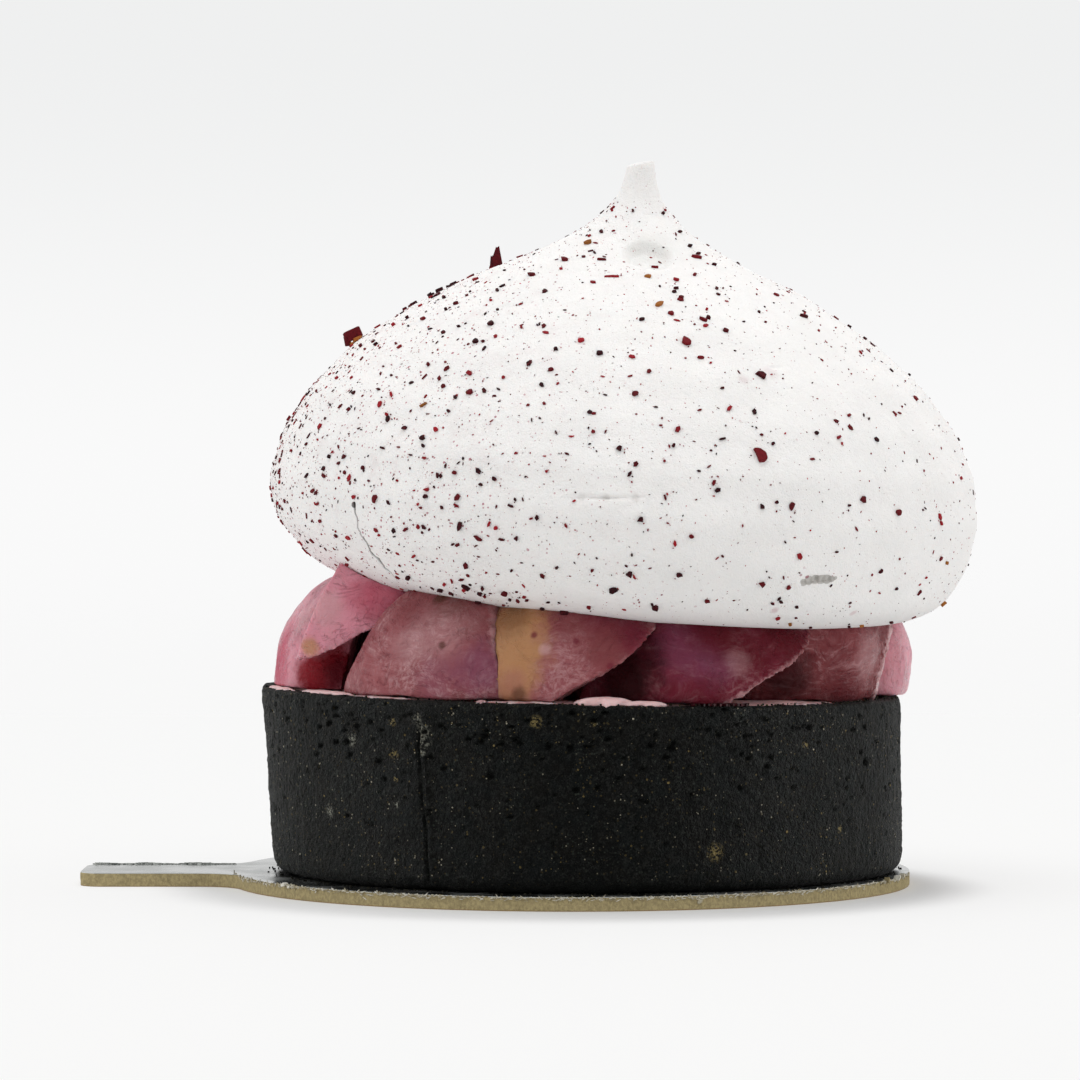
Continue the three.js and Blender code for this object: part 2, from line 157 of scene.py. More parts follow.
class TartColours(bpy.types.PropertyGroup):
    board: colour("Board", "Cut edge of the card", (0.36, 0.295, 0.155))
    foil: colour("Foil", "Silver face of the card", (0.5, 0.515, 0.505))
    liner: colour("Liner", "Paper under the card", (0.24, 0.15, 0.055))
    crust: colour("Crust", "Charcoal pastry", (0.0036, 0.0038, 0.0034))
    crust_cool: colour("Cool crust", "Blue-green patches of the pastry", (0.003, 0.006, 0.0065))
    crust_warm: colour("Warm crust", "Brownish patches of the pastry", (0.0085, 0.007, 0.005))
    flour: colour("Flour", "Pale flour on the pastry", (0.34, 0.34, 0.28))
    ochre_mark: colour("Ochre marks", "Browned bits on the pastry", (0.3, 0.23, 0.09))
    # Painted shade: the pits' colour darkens the air holes and the undercut foot of the pastry.
    pit: colour("Pits", "Air holes and the undercut foot of the pastry", (0.0004, 0.0004, 0.0004))
    cream: colour("Cream", "Filling", (0.78, 0.5, 0.5))
    film_dark: colour("Dark film", "Syrup on the rim", (0.3, 0.14, 0.15))
    film_pale: colour("Pale film", "Cream in the syrup on the rim", (0.55, 0.42, 0.42))
    rose: colour("Rose flesh", "Most of the poached fruit", (0.31, 0.095, 0.105))
    lilac: colour("Lilac flesh", "The palest slices", (0.72, 0.29, 0.36))
    wine: colour("Wine flesh", "The darkest slices", (0.16, 0.016, 0.032))
    russet: colour("Russet flesh", "Brownish pink slices", (0.2, 0.045, 0.05))
    # Crimson is the deep red end of slice 10, laid partly as painted shade under slice 11.
    crimson: colour("Crimson flesh", "Deep red end of a slice", (0.22, 0.008, 0.015))
    cerise: colour("Cerise flesh", "Bright pink places", (0.47, 0.06, 0.11))
    # Painted shade: this near-black is laid where shade falls between the slices.
    painted_gap_shade: colour("Hollows", "Dark syrup between the slices", (0.016, 0.001, 0.0015))
    # Blush is the fruit's own deep red, and some blots also use it as painted shade between the slices.
    blush: colour("Fruit blush", "Deep places of the fruit", (0.09, 0.004, 0.009))
    vein: colour("Fruit veins", "Pale veins in the fruit", (0.55, 0.32, 0.33))
    # Painted sheen: this bluish colour stands in for the violet sheen on the wet fruit.
    painted_violet_sheen: colour("Violet sheen", "Bluish places of the fruit", (0.2, 0.055, 0.11))
    golden: colour("Golden patch", "Yellow end of a slice", (0.45, 0.22, 0.095))
    bruise: colour("Bruise", "Brown spots on the fruit", (0.08, 0.028, 0.015))
    meringue: colour("Meringue", "Baked meringue", (0.9, 0.885, 0.87))
    stain: colour("Stains", "Pinkish stains on the meringue", (0.6, 0.42, 0.44))
    # The scars are partly grey chipped skin and partly painted shade in the chip and along the crease;
    # the dark scars are painted shade where the crack starts.
    chipped_skin_and_shade: colour("Scars", "Grey chipped places of the meringue", (0.4, 0.38, 0.35))
    crack_start_shade: colour("Dark scars", "Where the crack starts", (0.1, 0.09, 0.09))
    # Painted shade: the crack's inside is darkened along the foot of the cut.
    crack: colour("Crack", "Inside of the crack", (0.07, 0.052, 0.042))
    stain_dark: colour("Dark stains", "Deepest stains on the meringue", (0.3, 0.08, 0.11))
    # Painted shade: the grey skin in the hollow under the peak.
    hollow_shade: colour("Thin skin", "Greyish skin in the hollow under the peak", (0.74, 0.74, 0.71))
    dust: colour("Dust", "Finest specks of fruit", (0.42, 0.13, 0.17))
    dust_dark: colour("Dark dust", "Darkest loose dust", (0.07, 0.008, 0.013))
    dust_bright: colour("Bright dust", "Brightest loose dust", (0.52, 0.1, 0.13))
    dark_flake: colour("Dark flakes", "Darkest flakes", (0.022, 0.004, 0.006))
    red_flake: colour("Red flakes", "Reddest flakes", (0.33, 0.012, 0.02))
    ochre_flake: colour("Ochre flakes", "Seeds and skins", (0.45, 0.16, 0.035))
    wet_dark: colour("Dark wet crumbs", "Darkest wet crumbs", (0.004, 0.001, 0.0015))
    wet_bright: colour("Bright wet crumbs", "Reddest wet crumbs", (0.06, 0.006, 0.01))
    crumb_dark: colour("Dark crumbs", "Blackest crumbs", (0.003, 0.003, 0.003))
    crumb_bright: colour("Bright crumbs", "Brownest crumbs", (0.05, 0.045, 0.025))
    burr_dark: colour("Dark burr", "Darkest bits of torn foil", (0.12, 0.135, 0.125))
    burr_bright: colour("Bright burr", "Brightest bits of torn foil", (0.62, 0.64, 0.61))
    fibre: colour("Fibres", "Palest torn fibres", (0.72, 0.7, 0.62))
    # Away from the card the floor is dark paper under a painted glow that lifts the lamps' shadows.
    floor_near: colour("Floor", "Paper about the card", (0.9, 0.9, 0.895))
    floor_far: colour("Far floor", "Paper away from the card", (0.27, 0.27, 0.268))
    painted_floor_glow: colour("Glow", "How far the paper is lit from below", (0.662, 0.662, 0.66))


# ---- Mesh tools ----------------------------------------------------------------------------------


def smoothstep(value, low, high):
    t = np.clip((np.asarray(value, float) - low) / (high - low), 0, 1)
    return t * t * (3 - 2 * t)


def select_only(obj):
    bpy.ops.object.select_all(action="DESELECT")
    obj.hide_viewport = False
    obj.select_set(True)
    bpy.context.view_layer.objects.active = obj


@contextmanager
def editing(obj, mode="FACE"):
    """Edit mode on one object, with nothing selected to begin with."""
    select_only(obj)
    bpy.ops.object.mode_set(mode="EDIT")
    bpy.ops.mesh.select_mode(type=mode)
    bpy.ops.mesh.select_all(action="DESELECT")
    try:
        yield
    finally:
        bpy.ops.object.mode_set(mode="OBJECT")


def newest(name):
    """The object that the last operator added, renamed."""
    obj = bpy.context.view_layer.objects.active
    obj.name = name
    obj.data.name = name
    return obj


def settle(obj):
    """Puts the object's place into its mesh."""
    select_only(obj)
    bpy.ops.object.transform_apply(location=True, rotation=True, scale=True)


def move_mesh(obj, matrix):
    obj.matrix_world = matrix
    bpy.context.view_layer.update()
    settle(obj)


def finish_with(obj, kind, **settings):
    """Adds one modifier and applies it."""
    modifier = obj.modifiers.new(kind.title(), kind)
    for key, value in settings.items():
        setattr(modifier, key, value)
    select_only(obj)
    bpy.ops.object.modifier_apply(modifier=modifier.name)


def subdivide(obj, levels):
    finish_with(obj, "SUBSURF", levels=levels, render_levels=levels)


def roughen(obj, size, height, depth=2, group=""):
    """Raises and lowers the surface by cloudy noise of a size and a height."""
    texture = bpy.data.textures.new(f"{obj.name}_noise", "CLOUDS")
    texture.noise_scale = size
    texture.noise_depth = depth
    finish_with(
        obj, "DISPLACE", texture=texture, mid_level=0.5, strength=2 * height, vertex_group=group,
        direction="NORMAL", texture_coords="LOCAL",
    )


def points_of(obj):
    points = np.empty(len(obj.data.vertices) * 3)
    obj.data.vertices.foreach_get("co", points)
    return points.reshape(-1, 3)


def set_points(obj, points):
    obj.data.vertices.foreach_set("co", points.ravel())
    obj.data.update()


def reshape(obj, rule):
    """Moves every vertex by a rule on an array of points."""
    set_points(obj, rule(points_of(obj)))


def note(mesh, name, values):
    """A number at each vertex, for the material to read."""
    attribute = mesh.attributes.new(name, "FLOAT", "POINT")
    attribute.data.foreach_set("value", values.astype(np.float32))


def new_object(name, data):
    obj = bpy.data.objects.new(name, data)
    bpy.context.scene.collection.objects.link(obj)
    return obj


def weight(obj, name, values):
    """A vertex group with a weight for each vertex."""
    group = obj.vertex_groups.new(name=name)
    values = np.clip(values, 0, 1)
    for index in np.flatnonzero(values > 0.004):
        group.add([int(index)], float(values[index]), "REPLACE")
    return group.name


def cut_with(obj, cutter, keep_cutter=False):
    finish_with(obj, "BOOLEAN", operation="DIFFERENCE", object=cutter, solver="EXACT")
    if not keep_cutter:
        bpy.data.objects.remove(cutter)


def cut_away(obj, place, direction):
    """Cuts off what lies beyond a plane, and closes the cut."""
    with editing(obj):
        bpy.ops.mesh.select_all(action="SELECT")
        bpy.ops.mesh.bisect(
            plane_co=place, plane_no=direction, use_fill=True, clear_outer=True,
            threshold=0.001 * MM,
        )


def shade_smooth(obj, angle=40):
    select_only(obj)
    bpy.ops.object.shade_smooth_by_angle(angle=math.radians(angle))


def ring_stack(name, rings, segments):
    """A turned wall: a circle drawn up ring by ring through (radius, height) pairs."""
    radius, height = rings[0]
    bpy.ops.mesh.primitive_circle_add(
        vertices=segments, radius=radius, fill_type="NOTHING", location=(0, 0, height)
    )
    obj = newest(name)
    settle(obj)
    with editing(obj, "EDGE"):
        bpy.ops.mesh.select_all(action="SELECT")
        for next_radius, next_height in rings[1:]:
            bpy.ops.mesh.extrude_region_move(
                TRANSFORM_OT_translate={"value": (0, 0, next_height - height)}
            )
            ratio = next_radius / radius
            bpy.ops.transform.resize(value=(ratio, ratio, 1), center_override=(0, 0, next_height))
            radius, height = next_radius, next_height
    return obj


def close_ends(obj):
    """Closes the two open ends of a turned wall, and turns its faces outwards."""
    with editing(obj, "EDGE"):
        bpy.ops.mesh.select_all(action="SELECT")
        bpy.ops.mesh.fill_holes(sides=0)
        bpy.ops.mesh.select_all(action="SELECT")
        bpy.ops.mesh.normals_make_consistent(inside=False)


def spline(points, steps):
    """Points on a smooth curve through the given ones."""
    pts = np.array([points[0], *points, points[-1]], float)
    out = []
    for i in range(len(points) - 1):
        p0, p1, p2, p3 = pts[i:i + 4]
        for t in np.arange(steps) / steps:
            a = 2 * p1 + (p2 - p0) * t
            b = (2 * p0 - 5 * p1 + 4 * p2 - p3) * t**2
            c = (3 * p1 - p0 - 3 * p2 + p3) * t**3
            out.append((a + b + c) / 2)
    return [tuple(p) for p in out] + [tuple(points[-1])]


def piece(obj, slot, *materials, replaces=()):
    """Hands a finished mesh to the frame."""
    obj.data.materials.clear()
    for material in materials:
        obj.data.materials.append(material)
    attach(obj, "root")
    if replaces:
        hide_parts(*replaces)
    return obj


def seen_point(obj, across, up):
    """The place and normal on a mesh that the eye sees at a point of the plane Y = 0."""
    aim = Vector((across * MM, 0, up * MM)) - EYE
    aim.normalize()
    hit, place, normal, _ = obj.ray_cast(EYE, aim)
    if hit:
        return place, normal
    miss = EYE + aim * (Vector((across * MM, 0, up * MM)) - EYE).length
    _, place, normal, _ = obj.closest_point_on_mesh(miss)
    return place, normal


def surface_axes(normal, turn):
    """A frame whose Z is the normal and whose X is turned from level by an angle in degrees."""
    side = UP.cross(normal)
    side = side.normalized() if side.length > 1e-6 else Vector((1, 0, 0))
    rise = normal.cross(side)
    angle = math.radians(turn)
    along = side * math.cos(angle) + rise * math.sin(angle)
    return Matrix((along, normal.cross(along), normal)).transposed()


# ---- Shader tools --------------------------------------------------------------------------------


class Shader:
    """Adds nodes to a material or a node group, linking the sockets it is given."""

    def __init__(self, tree):
        self.tree = tree

    def add(self, kind, inputs=None, **settings):
        node = self.tree.nodes.new(kind)
        for key, value in settings.items():
            setattr(node, key, value)
        for key, value in (inputs or {}).items():
            if isinstance(value, bpy.types.NodeSocket):
                self.tree.links.new(value, node.inputs[key])
            else:
                node.inputs[key].default_value = value
        return node

    def math(self, operation, a, b=0.0, clamp=False):
        node = self.add("ShaderNodeMath", {0: a, 1: b}, operation=operation, use_clamp=clamp)
        return node.outputs[0]

    def times(self, a, b, clamp=False):
        return self.math("MULTIPLY", a, b, clamp)

    def plus(self, a, b, clamp=False):
        return self.math("ADD", a, b, clamp)

    def minus(self, a, b):
        return self.math("SUBTRACT", a, b)

    def mix(self, factor, a, b):
        """One colour where the factor is 0, the other where it is 1."""
        return self.add("ShaderNodeMix", {0: factor, 6: a, 7: b}, data_type="RGBA").outputs[2]

    def ramp(self, value, low, high):
        """0 at low and 1 at high, with a smooth rise between."""
        node = self.add(
            "ShaderNodeMapRange", {"Value": value, "From Min": low, "From Max": high},
            interpolation_type="SMOOTHSTEP",
        )
        return node.outputs["Result"]

    def noise(self, vector, scale, detail=3.0, roughness=0.5, distortion=0.0):
        inputs = {
            "Vector": vector, "Scale": scale, "Detail": detail, "Roughness": roughness,
            "Distortion": distortion,
        }
        return self.add("ShaderNodeTexNoise", inputs).outputs["Fac"]

    def vector_math(self, operation, a, b):
        return self.add("ShaderNodeVectorMath", {0: a, 1: b}, operation=operation).outputs

    def stretched(self, vector, scale):
        return self.add("ShaderNodeMapping", {"Vector": vector, "Scale": scale}).outputs[0]

    def attribute(self, name):
        """A number that the mesh holds at each vertex."""
        return self.add("ShaderNodeAttribute", attribute_name=name).outputs["Fac"]

    def metres(self):
        """The object's own coordinates."""
        return self.add("ShaderNodeTexCoord").outputs["Object"]

    def millimetres(self):
        """The object's own coordinates, in millimetres."""
        return self.vector_math("MULTIPLY", self.metres(), (1 / MM,) * 3)[0]


def shade(value, share):
    """A lighter or darker version of a colour."""
    return [min(1.0, c * share) for c in value]


def rgba(value, share=1.0):
    return (*shade(value, share), 1.0)


def shader_group(name, inputs, outputs):
    """A node group with named sockets, and the nodes that hold them."""
    tree = bpy.data.node_groups.new(name, "ShaderNodeTree")
    kinds = {"vector": "NodeSocketVector", "colour": "NodeSocketColor", "value": "NodeSocketFloat"}
    for socket, (kind, default) in inputs.items():
        made = tree.interface.new_socket(socket, in_out="INPUT", socket_type=kinds[kind])
        if default is not None:
            made.default_value = default
    for socket, kind in outputs.items():
        tree.interface.new_socket(socket, in_out="OUTPUT", socket_type=kinds[kind])
    shader = Shader(tree)
    return shader, shader.add("NodeGroupInput").outputs, shader.add("NodeGroupOutput").inputs


def grain_group():
    """Fine uneven relief at two scales, for every dry surface."""
    shader, given, out = shader_group(
        "Dry grain",
        {"Vector": ("vector", None), "Coarse": ("value", 1.0), "Fine": ("value", 6.0),
         "Fine share": ("value", 0.4)},
        {"Height": "value", "Patches": "value"},
    )
    coarse = shader.noise(given["Vector"], given["Coarse"], 3.0, 0.55)
    fine = shader.noise(given["Vector"], given["Fine"], 2.0, 0.6)
    fine_part = shader.times(fine, given["Fine share"])
    link = shader.tree.links.new
    link(shader.plus(coarse, fine_part), out["Height"])
    link(coarse, out["Patches"])
    return shader.tree


def speck_group():
    """A mask of scattered specks, one at most in each cell, of uneven size."""
    shader, given, out = shader_group(
        "Specks",
        {"Vector": ("vector", None), "Cells": ("value", 2.0), "Share": ("value", 0.3),
         "Size": ("value", 0.2)},
        {"Mask": "value", "Tone": "value"},
    )
    cells = shader.add("ShaderNodeTexVoronoi", {"Vector": given["Vector"], "Scale": given["Cells"]})
    tone = shader.add("ShaderNodeSeparateColor", {0: cells.outputs["Color"]})
    size = shader.times(given["Size"], shader.math("POWER", tone.outputs[0], 2.0))
    near = shader.math("LESS_THAN", cells.outputs["Distance"], size)
    chosen = shader.math("LESS_THAN", tone.outputs[1], given["Share"])
    link = shader.tree.links.new
    link(shader.times(near, chosen), out["Mask"])
    link(tone.outputs[2], out["Tone"])
    return shader.tree


def flesh_group():
    """Poached fruit, in a slice's own millimetres: X along it, Y inwards, Z up."""
    shader, given, out = shader_group(
        "Fruit flesh",
        {"Vector": ("vector", None), "Flesh": ("colour", None), "Blush": ("colour", None),
         "Vein": ("colour", None), "Blush amount": ("value", 0.5), "Vein amount": ("value", 0.4),
         "Fibre amount": ("value", 0.4), "Edge direction": ("vector", None),
         "Edge place": ("value", 30.0), "Edge amount": ("value", 0.5)},
        {"Colour": "colour", "Roughness": "value", "Height": "value"},
    )
    link = shader.tree.links.new
    place = given["Vector"]
    warp = shader.add("ShaderNodeTexNoise", {"Vector": place, "Scale": 0.16, "Detail": 2.0})
    bent = shader.add(
        "ShaderNodeVectorMath", {0: warp.outputs["Color"], 1: (5.5, 5.5, 5.5), 2: place},
        operation="MULTIPLY_ADD",
    ).outputs[0]

    patches = shader.ramp(shader.noise(place, 0.2, 4.0, 0.65), 0.36, 0.64)
    base = shader.mix(
        shader.times(patches, given["Blush amount"]), given["Flesh"], given["Blush"]
    )
    # A frosty veil of short threads lies over parts of the skin.
    threads = shader.noise(bent, 1.5, 5.0, 0.75, 0.3)
    haze = shader.ramp(shader.noise(place, 0.26, 3.0, 0.55), 0.38, 0.62)
    veil = shader.times(shader.ramp(threads, 0.4, 0.68), haze)
    veil = shader.times(veil, given["Vein amount"], clamp=True)
    base = shader.mix(veil, base, given["Vein"])
    # Fibres are long thin streaks along the slice.
    fibre = shader.noise(shader.stretched(bent, (0.12, 0.9, 1.3)), 1.3, 4.0, 0.7)
    streaks = shader.times(shader.ramp(fibre, 0.5, 0.72), given["Fibre amount"])
    base = shader.mix(streaks, base, given["Vein"])
    dark_streaks = shader.times(shader.ramp(fibre, 0.46, 0.3), 0.4)
    base = shader.mix(dark_streaks, base, given["Blush"])
    # Wrinkles run where a bent noise crosses its middle value, and fade in and out. They are sunk in the
    # bump and painted darker, as painted shade in the creases.
    crossing = shader.minus(shader.noise(bent, 0.42, 3.0, 0.55, 0.5), 0.5)
    line = shader.ramp(shader.math("ABSOLUTE", crossing), 0.022, 0.004)
    fade = shader.ramp(shader.noise(place, 0.35, 2.0, 0.5), 0.42, 0.6)
    line = shader.times(line, fade)
    base = shader.mix(shader.times(line, 0.22), base, given["Blush"])

    towards = shader.vector_math("DOT_PRODUCT", place, given["Edge direction"])["Value"]
    torn = shader.times(shader.noise(place, 1.6, 3.0, 0.6), 1.5)
    from_edge = shader.minus(given["Edge place"], towards)
    rim = shader.ramp(shader.plus(from_edge, torn), 1.35, 0.75)
    base = shader.mix(shader.times(rim, given["Edge amount"]), base, given["Vein"])

    freckle = shader.ramp(shader.noise(place, 1.5, 2.0, 0.5), 0.69, 0.76)
    base = shader.mix(shader.times(freckle, 0.45), base, given["Blush"])
    link(base, out["Colour"])
    link(shader.ramp(shader.noise(place, 0.5, 3.0, 0.6), 0.3, 0.7), out["Roughness"])
    fine = shader.times(shader.noise(place, 2.6, 4.0, 0.65), 0.6)
    height = shader.plus(shader.times(fibre, 0.6), fine)
    height = shader.plus(height, shader.times(threads, 0.5))
    link(shader.minus(height, shader.times(line, 0.5)), out["Height"])
    return shader.tree


def blot_group():
    """A ragged round blot about a centre, in millimetres."""
    shader, given, out = shader_group(
        "Blot",
        {"Vector": ("vector", None), "Centre": ("vector", None), "Reach": ("value", 2.0),
         "Amount": ("value", 1.0), "Softness": ("value", 0.45)},
        {"Mask": "value"},
    )
    away = shader.vector_math("DISTANCE", given["Vector"], given["Centre"])["Value"]
    share = shader.math("DIVIDE", away, given["Reach"])
    cloud = shader.minus(shader.noise(given["Vector"], 0.6, 4.0, 0.65), 0.5)
    ragged = shader.plus(share, shader.times(cloud, 0.9))
    edge = 0.8
    outer = shader.plus(edge, given["Softness"])
    inner = shader.minus(edge, given["Softness"])
    mask = shader.ramp(ragged, outer, inner)
    shader.tree.links.new(shader.times(mask, given["Amount"]), out["Mask"])
    return shader.tree


def shared_group(name):
    """The node group of a name, made at its first use."""
    makers = {
        "Dry grain": grain_group, "Specks": speck_group, "Fruit flesh": flesh_group,
        "Blot": blot_group,
    }
    return bpy.data.node_groups.get(name) or makers[name]()


def group_node(shader, name, vector, values):
    node = shader.add("ShaderNodeGroup", node_tree=shared_group(name))
    set_inputs(node, values)
    shader.tree.links.new(vector, node.inputs["Vector"])
    return node.outputs


def blot_mask(shader, place, obj, across, up, reach, amount, softness=0.45):
    """A blot of a reach in millimetres on the surface, about a place as seen."""
    centre, _ = seen_point(obj, across, up)
    return group_node(shader, "Blot", place, {
        "Centre": centre / MM, "Reach": reach, "Amount": amount, "Softness": softness,
    })["Mask"]


def blotted(shader, base, place, obj, blots, colours):
    """Lays blots of (across, up, reach, colour's name, amount, softness) over a colour."""
    for across, up, reach, tint, *rest in blots:
        mask = blot_mask(shader, place, obj, across, up, reach, *rest)
        base = shader.mix(mask, base, rgba(getattr(colours, tint)))
    return base


def new_material(name):
    """A material with nothing but its Principled shader."""
    material = bpy.data.materials.new(name)
    material.use_nodes = True
    shader = Shader(material.node_tree)
    bsdf = next(n for n in material.node_tree.nodes if n.type == "BSDF_PRINCIPLED")
    return material, shader, bsdf


def set_inputs(node, values):
    for key, value in values.items():
        node.inputs[key].default_value = value


def link_to(shader, bsdf, **sockets):
    for key, socket in sockets.items():
        shader.tree.links.new(socket, bsdf.inputs[key.replace("_", " ")])


def bump(shader, height, distance, strength=1.0):
    node = shader.add(
        "ShaderNodeBump", {"Height": height, "Distance": distance, "Strength": strength}
    )
    return node.outputs[0]


def board_material(colours):
    """Greyboard: matted pale and dark fibres, stretched round the cut edge."""
    material, shader, bsdf = new_material("Greyboard")
    place = shader.millimetres()
    fibres = shader.noise(shader.stretched(place, (1, 1, 0.75)), 3.2, 4.0, 0.7)
    blots = shader.noise(place, 0.9, 3.0, 0.6)
    matted = shader.ramp(fibres, 0.32, 0.68)
    base = shader.mix(matted, rgba(colours.board, 0.78), rgba(colours.board, 1.25))
    dark_blots = shader.times(shader.ramp(blots, 0.62, 0.75), 0.55)
    base = shader.mix(dark_blots, base, rgba(colours.board, 0.4))
    link_to(shader, bsdf, Base_Color=base, Normal=bump(shader, fibres, 0.12 * MM))
    set_inputs(bsdf, {"Roughness": 0.92, "Specular IOR Level": 0.2})
    return material


def foil_material(colours):
    """Silver foil with rolling lines and faint crumples."""
    material, shader, bsdf = new_material("Silver foil")
    place = shader.millimetres()
    lines = shader.noise(shader.stretched(place, (0.25, 4, 1)), 1.6, 3.0, 0.6)
    crumple = shader.noise(place, 0.5, 3.0, 0.5)
    smudge = shader.ramp(shader.noise(place, 0.18, 3.0, 0.6), 0.4, 0.7)
    rough = shader.plus(0.16, shader.times(smudge, 0.2))
    height = shader.plus(shader.times(lines, 0.15), crumple)
    link_to(shader, bsdf, Roughness=rough, Normal=bump(shader, height, 0.02 * MM, 0.15))
    set_inputs(bsdf, {"Base Color": rgba(colours.foil), "Metallic": 1.0})
    return material


def liner_material(colours):
    """Golden brown paper, a little patchy."""
    material, shader, bsdf = new_material("Gold paper")
    place = shader.millimetres()
    patches = shader.noise(place, 1.2, 3.0, 0.6)
    base = shader.mix(patches, rgba(colours.liner, 0.7), rgba(colours.liner, 1.3))
    link_to(shader, bsdf, Base_Color=base, Normal=bump(shader, patches, 0.04 * MM))
    set_inputs(bsdf, {"Roughness": 0.5, "Metallic": 0.0})
    return material


# Specks in the crust as (cells for each millimetre, share of cells, size, colour, amount): grey
# crumb, brown crumb, ochre bits, flour and pale painted glints.
CRUST_SPECKS = [
    (3.4, 0.7, 0.5, (0.034, 0.04, 0.032), 1.0), (2.6, 0.6, 0.42, (0.07, 0.052, 0.02), 1.0),
    (1.7, 0.4, 0.26, (0.26, 0.19, 0.07), 0.9), (2.6, 0.34, 0.24, (0.5, 0.48, 0.4), 0.9),
    (1.5, 0.3, 0.18, (0.6, 0.55, 0.42), 1.0),
]
# Pink specks in the meringue as (cells for each millimetre, share of cells, size, amount).
MERINGUE_SPECKS = [(2.4, 0.34, 0.34, 0.75), (1.4, 0.34, 0.26, 0.85)]


def crust_material(colours, shell):
    """Charcoal shortcrust: near-black crumb in cool and warm patches, with painted shade in its pits and
    painted glints.
    """
    material, shader, bsdf = new_material("Charcoal crust")
    place = shader.millimetres()
    grain = group_node(shader, "Dry grain", place, {"Coarse": 2.2, "Fine": 5.5, "Fine share": 0.9})
    crumb = shader.ramp(grain["Height"], 0.92, 1.1)
    mottle = shader.ramp(shader.noise(place, 1.1, 3.0, 0.6), 0.35, 0.65)
    crumb = shader.times(crumb, shader.plus(0.35, mottle))
    base = shader.mix(crumb, rgba(colours.crust, 0.02), rgba(colours.crust, 4.2))
    tint = shader.noise(place, 0.33, 4.0, 0.7)
    cool = shader.times(shader.ramp(tint, 0.48, 0.64), 0.5)
    base = shader.mix(cool, base, rgba(colours.crust_cool))
    warm = shader.times(shader.ramp(tint, 0.5, 0.36), 0.4)
    base = shader.mix(warm, base, rgba(colours.crust_warm))
    # Specks, the painted glints among them, gather in some parts, and are rare in others.
    parts = shader.ramp(shader.noise(place, 0.13, 3.0, 0.6), 0.35, 0.7)
    for cells, share, size, speck, amount in CRUST_SPECKS:
        spots = group_node(shader, "Specks", place, {"Cells": cells, "Share": share, "Size": size})
        mask = shader.times(spots["Mask"], shader.plus(0.25, spots["Tone"]))
        mask = shader.times(mask, shader.plus(0.3, parts))
        base = shader.mix(shader.times(mask, amount, clamp=True), base, rgba(speck))
    crumbly = shader.ramp(shader.noise(place, 3.0, 3.0, 0.7), 0.47, 0.56)
    for marks, tint, amount in ((FLOUR, colours.flour, 0.7), (OCHRE_MARKS, colours.ochre_mark, 0.9)):
        for across, up, size in marks:
            mask = blot_mask(shader, place, shell, across, up, size, amount)
            base = shader.mix(shader.times(mask, crumbly), base, rgba(tint))
    # Pits lie level, like slits. The larger ones are modelled, and the finest are here. All are painted
    # near-black, as painted shade in the holes.
    level = shader.stretched(place, (1, 1, 1.9))
    fine = group_node(shader, "Specks", level, {"Cells": 2.0, "Share": 0.5, "Size": 0.42})["Mask"]
    pore_shade_mask = shader.math("MAXIMUM", fine, shader.ramp(shader.attribute("pit"), 0.05, 0.5))
    base = shader.mix(shader.times(pore_shade_mask, 0.92), base, rgba(colours.pit))
    # The undercut foot is painted dark, as painted shade where the crust tucks in above the card.
    level_up = shader.add("ShaderNodeSeparateXYZ", {0: place}).outputs[2]
    foot = shader.ramp(level_up, SHELL_FOOT_Z / MM + 1.7, SHELL_FOOT_Z / MM + 0.6)
    base = shader.mix(shader.times(foot, 0.85), base, rgba(colours.pit))
    height = shader.minus(grain["Height"], fine)
    rough = shader.plus(0.36, shader.times(grain["Patches"], 0.3))
    link_to(
        shader, bsdf, Base_Color=base, Roughness=rough, Normal=bump(shader, height, 1.5 * MM),
    )
    set_inputs(bsdf, {
        "Specular IOR Level": 0.08, "Sheen Weight": 0.018, "Sheen Roughness": 0.4,
        "Sheen Tint": (0.9, 1.0, 0.9, 1),
    })
    return material


def cream_material(colours):
    """Pale pink cream with soft swirls."""
    material, shader, bsdf = new_material("Pink cream")
    place = shader.millimetres()
    swirl = shader.noise(place, 0.35, 3.0, 0.5)
    base = shader.mix(swirl, rgba(colours.cream, 0.86), rgba(colours.cream, 1.12))
    fine = shader.noise(place, 2.4, 2.0, 0.5)
    link_to(shader, bsdf, Base_Color=base, Normal=bump(shader, fine, 0.08 * MM))
    set_inputs(bsdf, {
        "Roughness": 0.42, "Subsurface Weight": 0.35, "Subsurface Scale": 1.5 * MM,
        "Subsurface Radius": (1.0, 0.5, 0.4),
    })
    return material


def film_material(colours):
    """The thin wet film of syrup and cream that has crept over the rim."""
    material, shader, bsdf = new_material("Syrup film")
    place = shader.millimetres()
    patches = shader.ramp(shader.noise(place, 0.9, 3.0, 0.6), 0.3, 0.7)
    base = shader.mix(patches, rgba(colours.film_dark), rgba(colours.film_pale))
    fine = shader.noise(place, 2.2, 2.0, 0.5)
    link_to(shader, bsdf, Base_Color=base, Normal=bump(shader, fine, 0.1 * MM))
    set_inputs(bsdf, {"Roughness": 0.3, "Subsurface Weight": 0.3, "Subsurface Scale": 0.8 * MM})
    return material


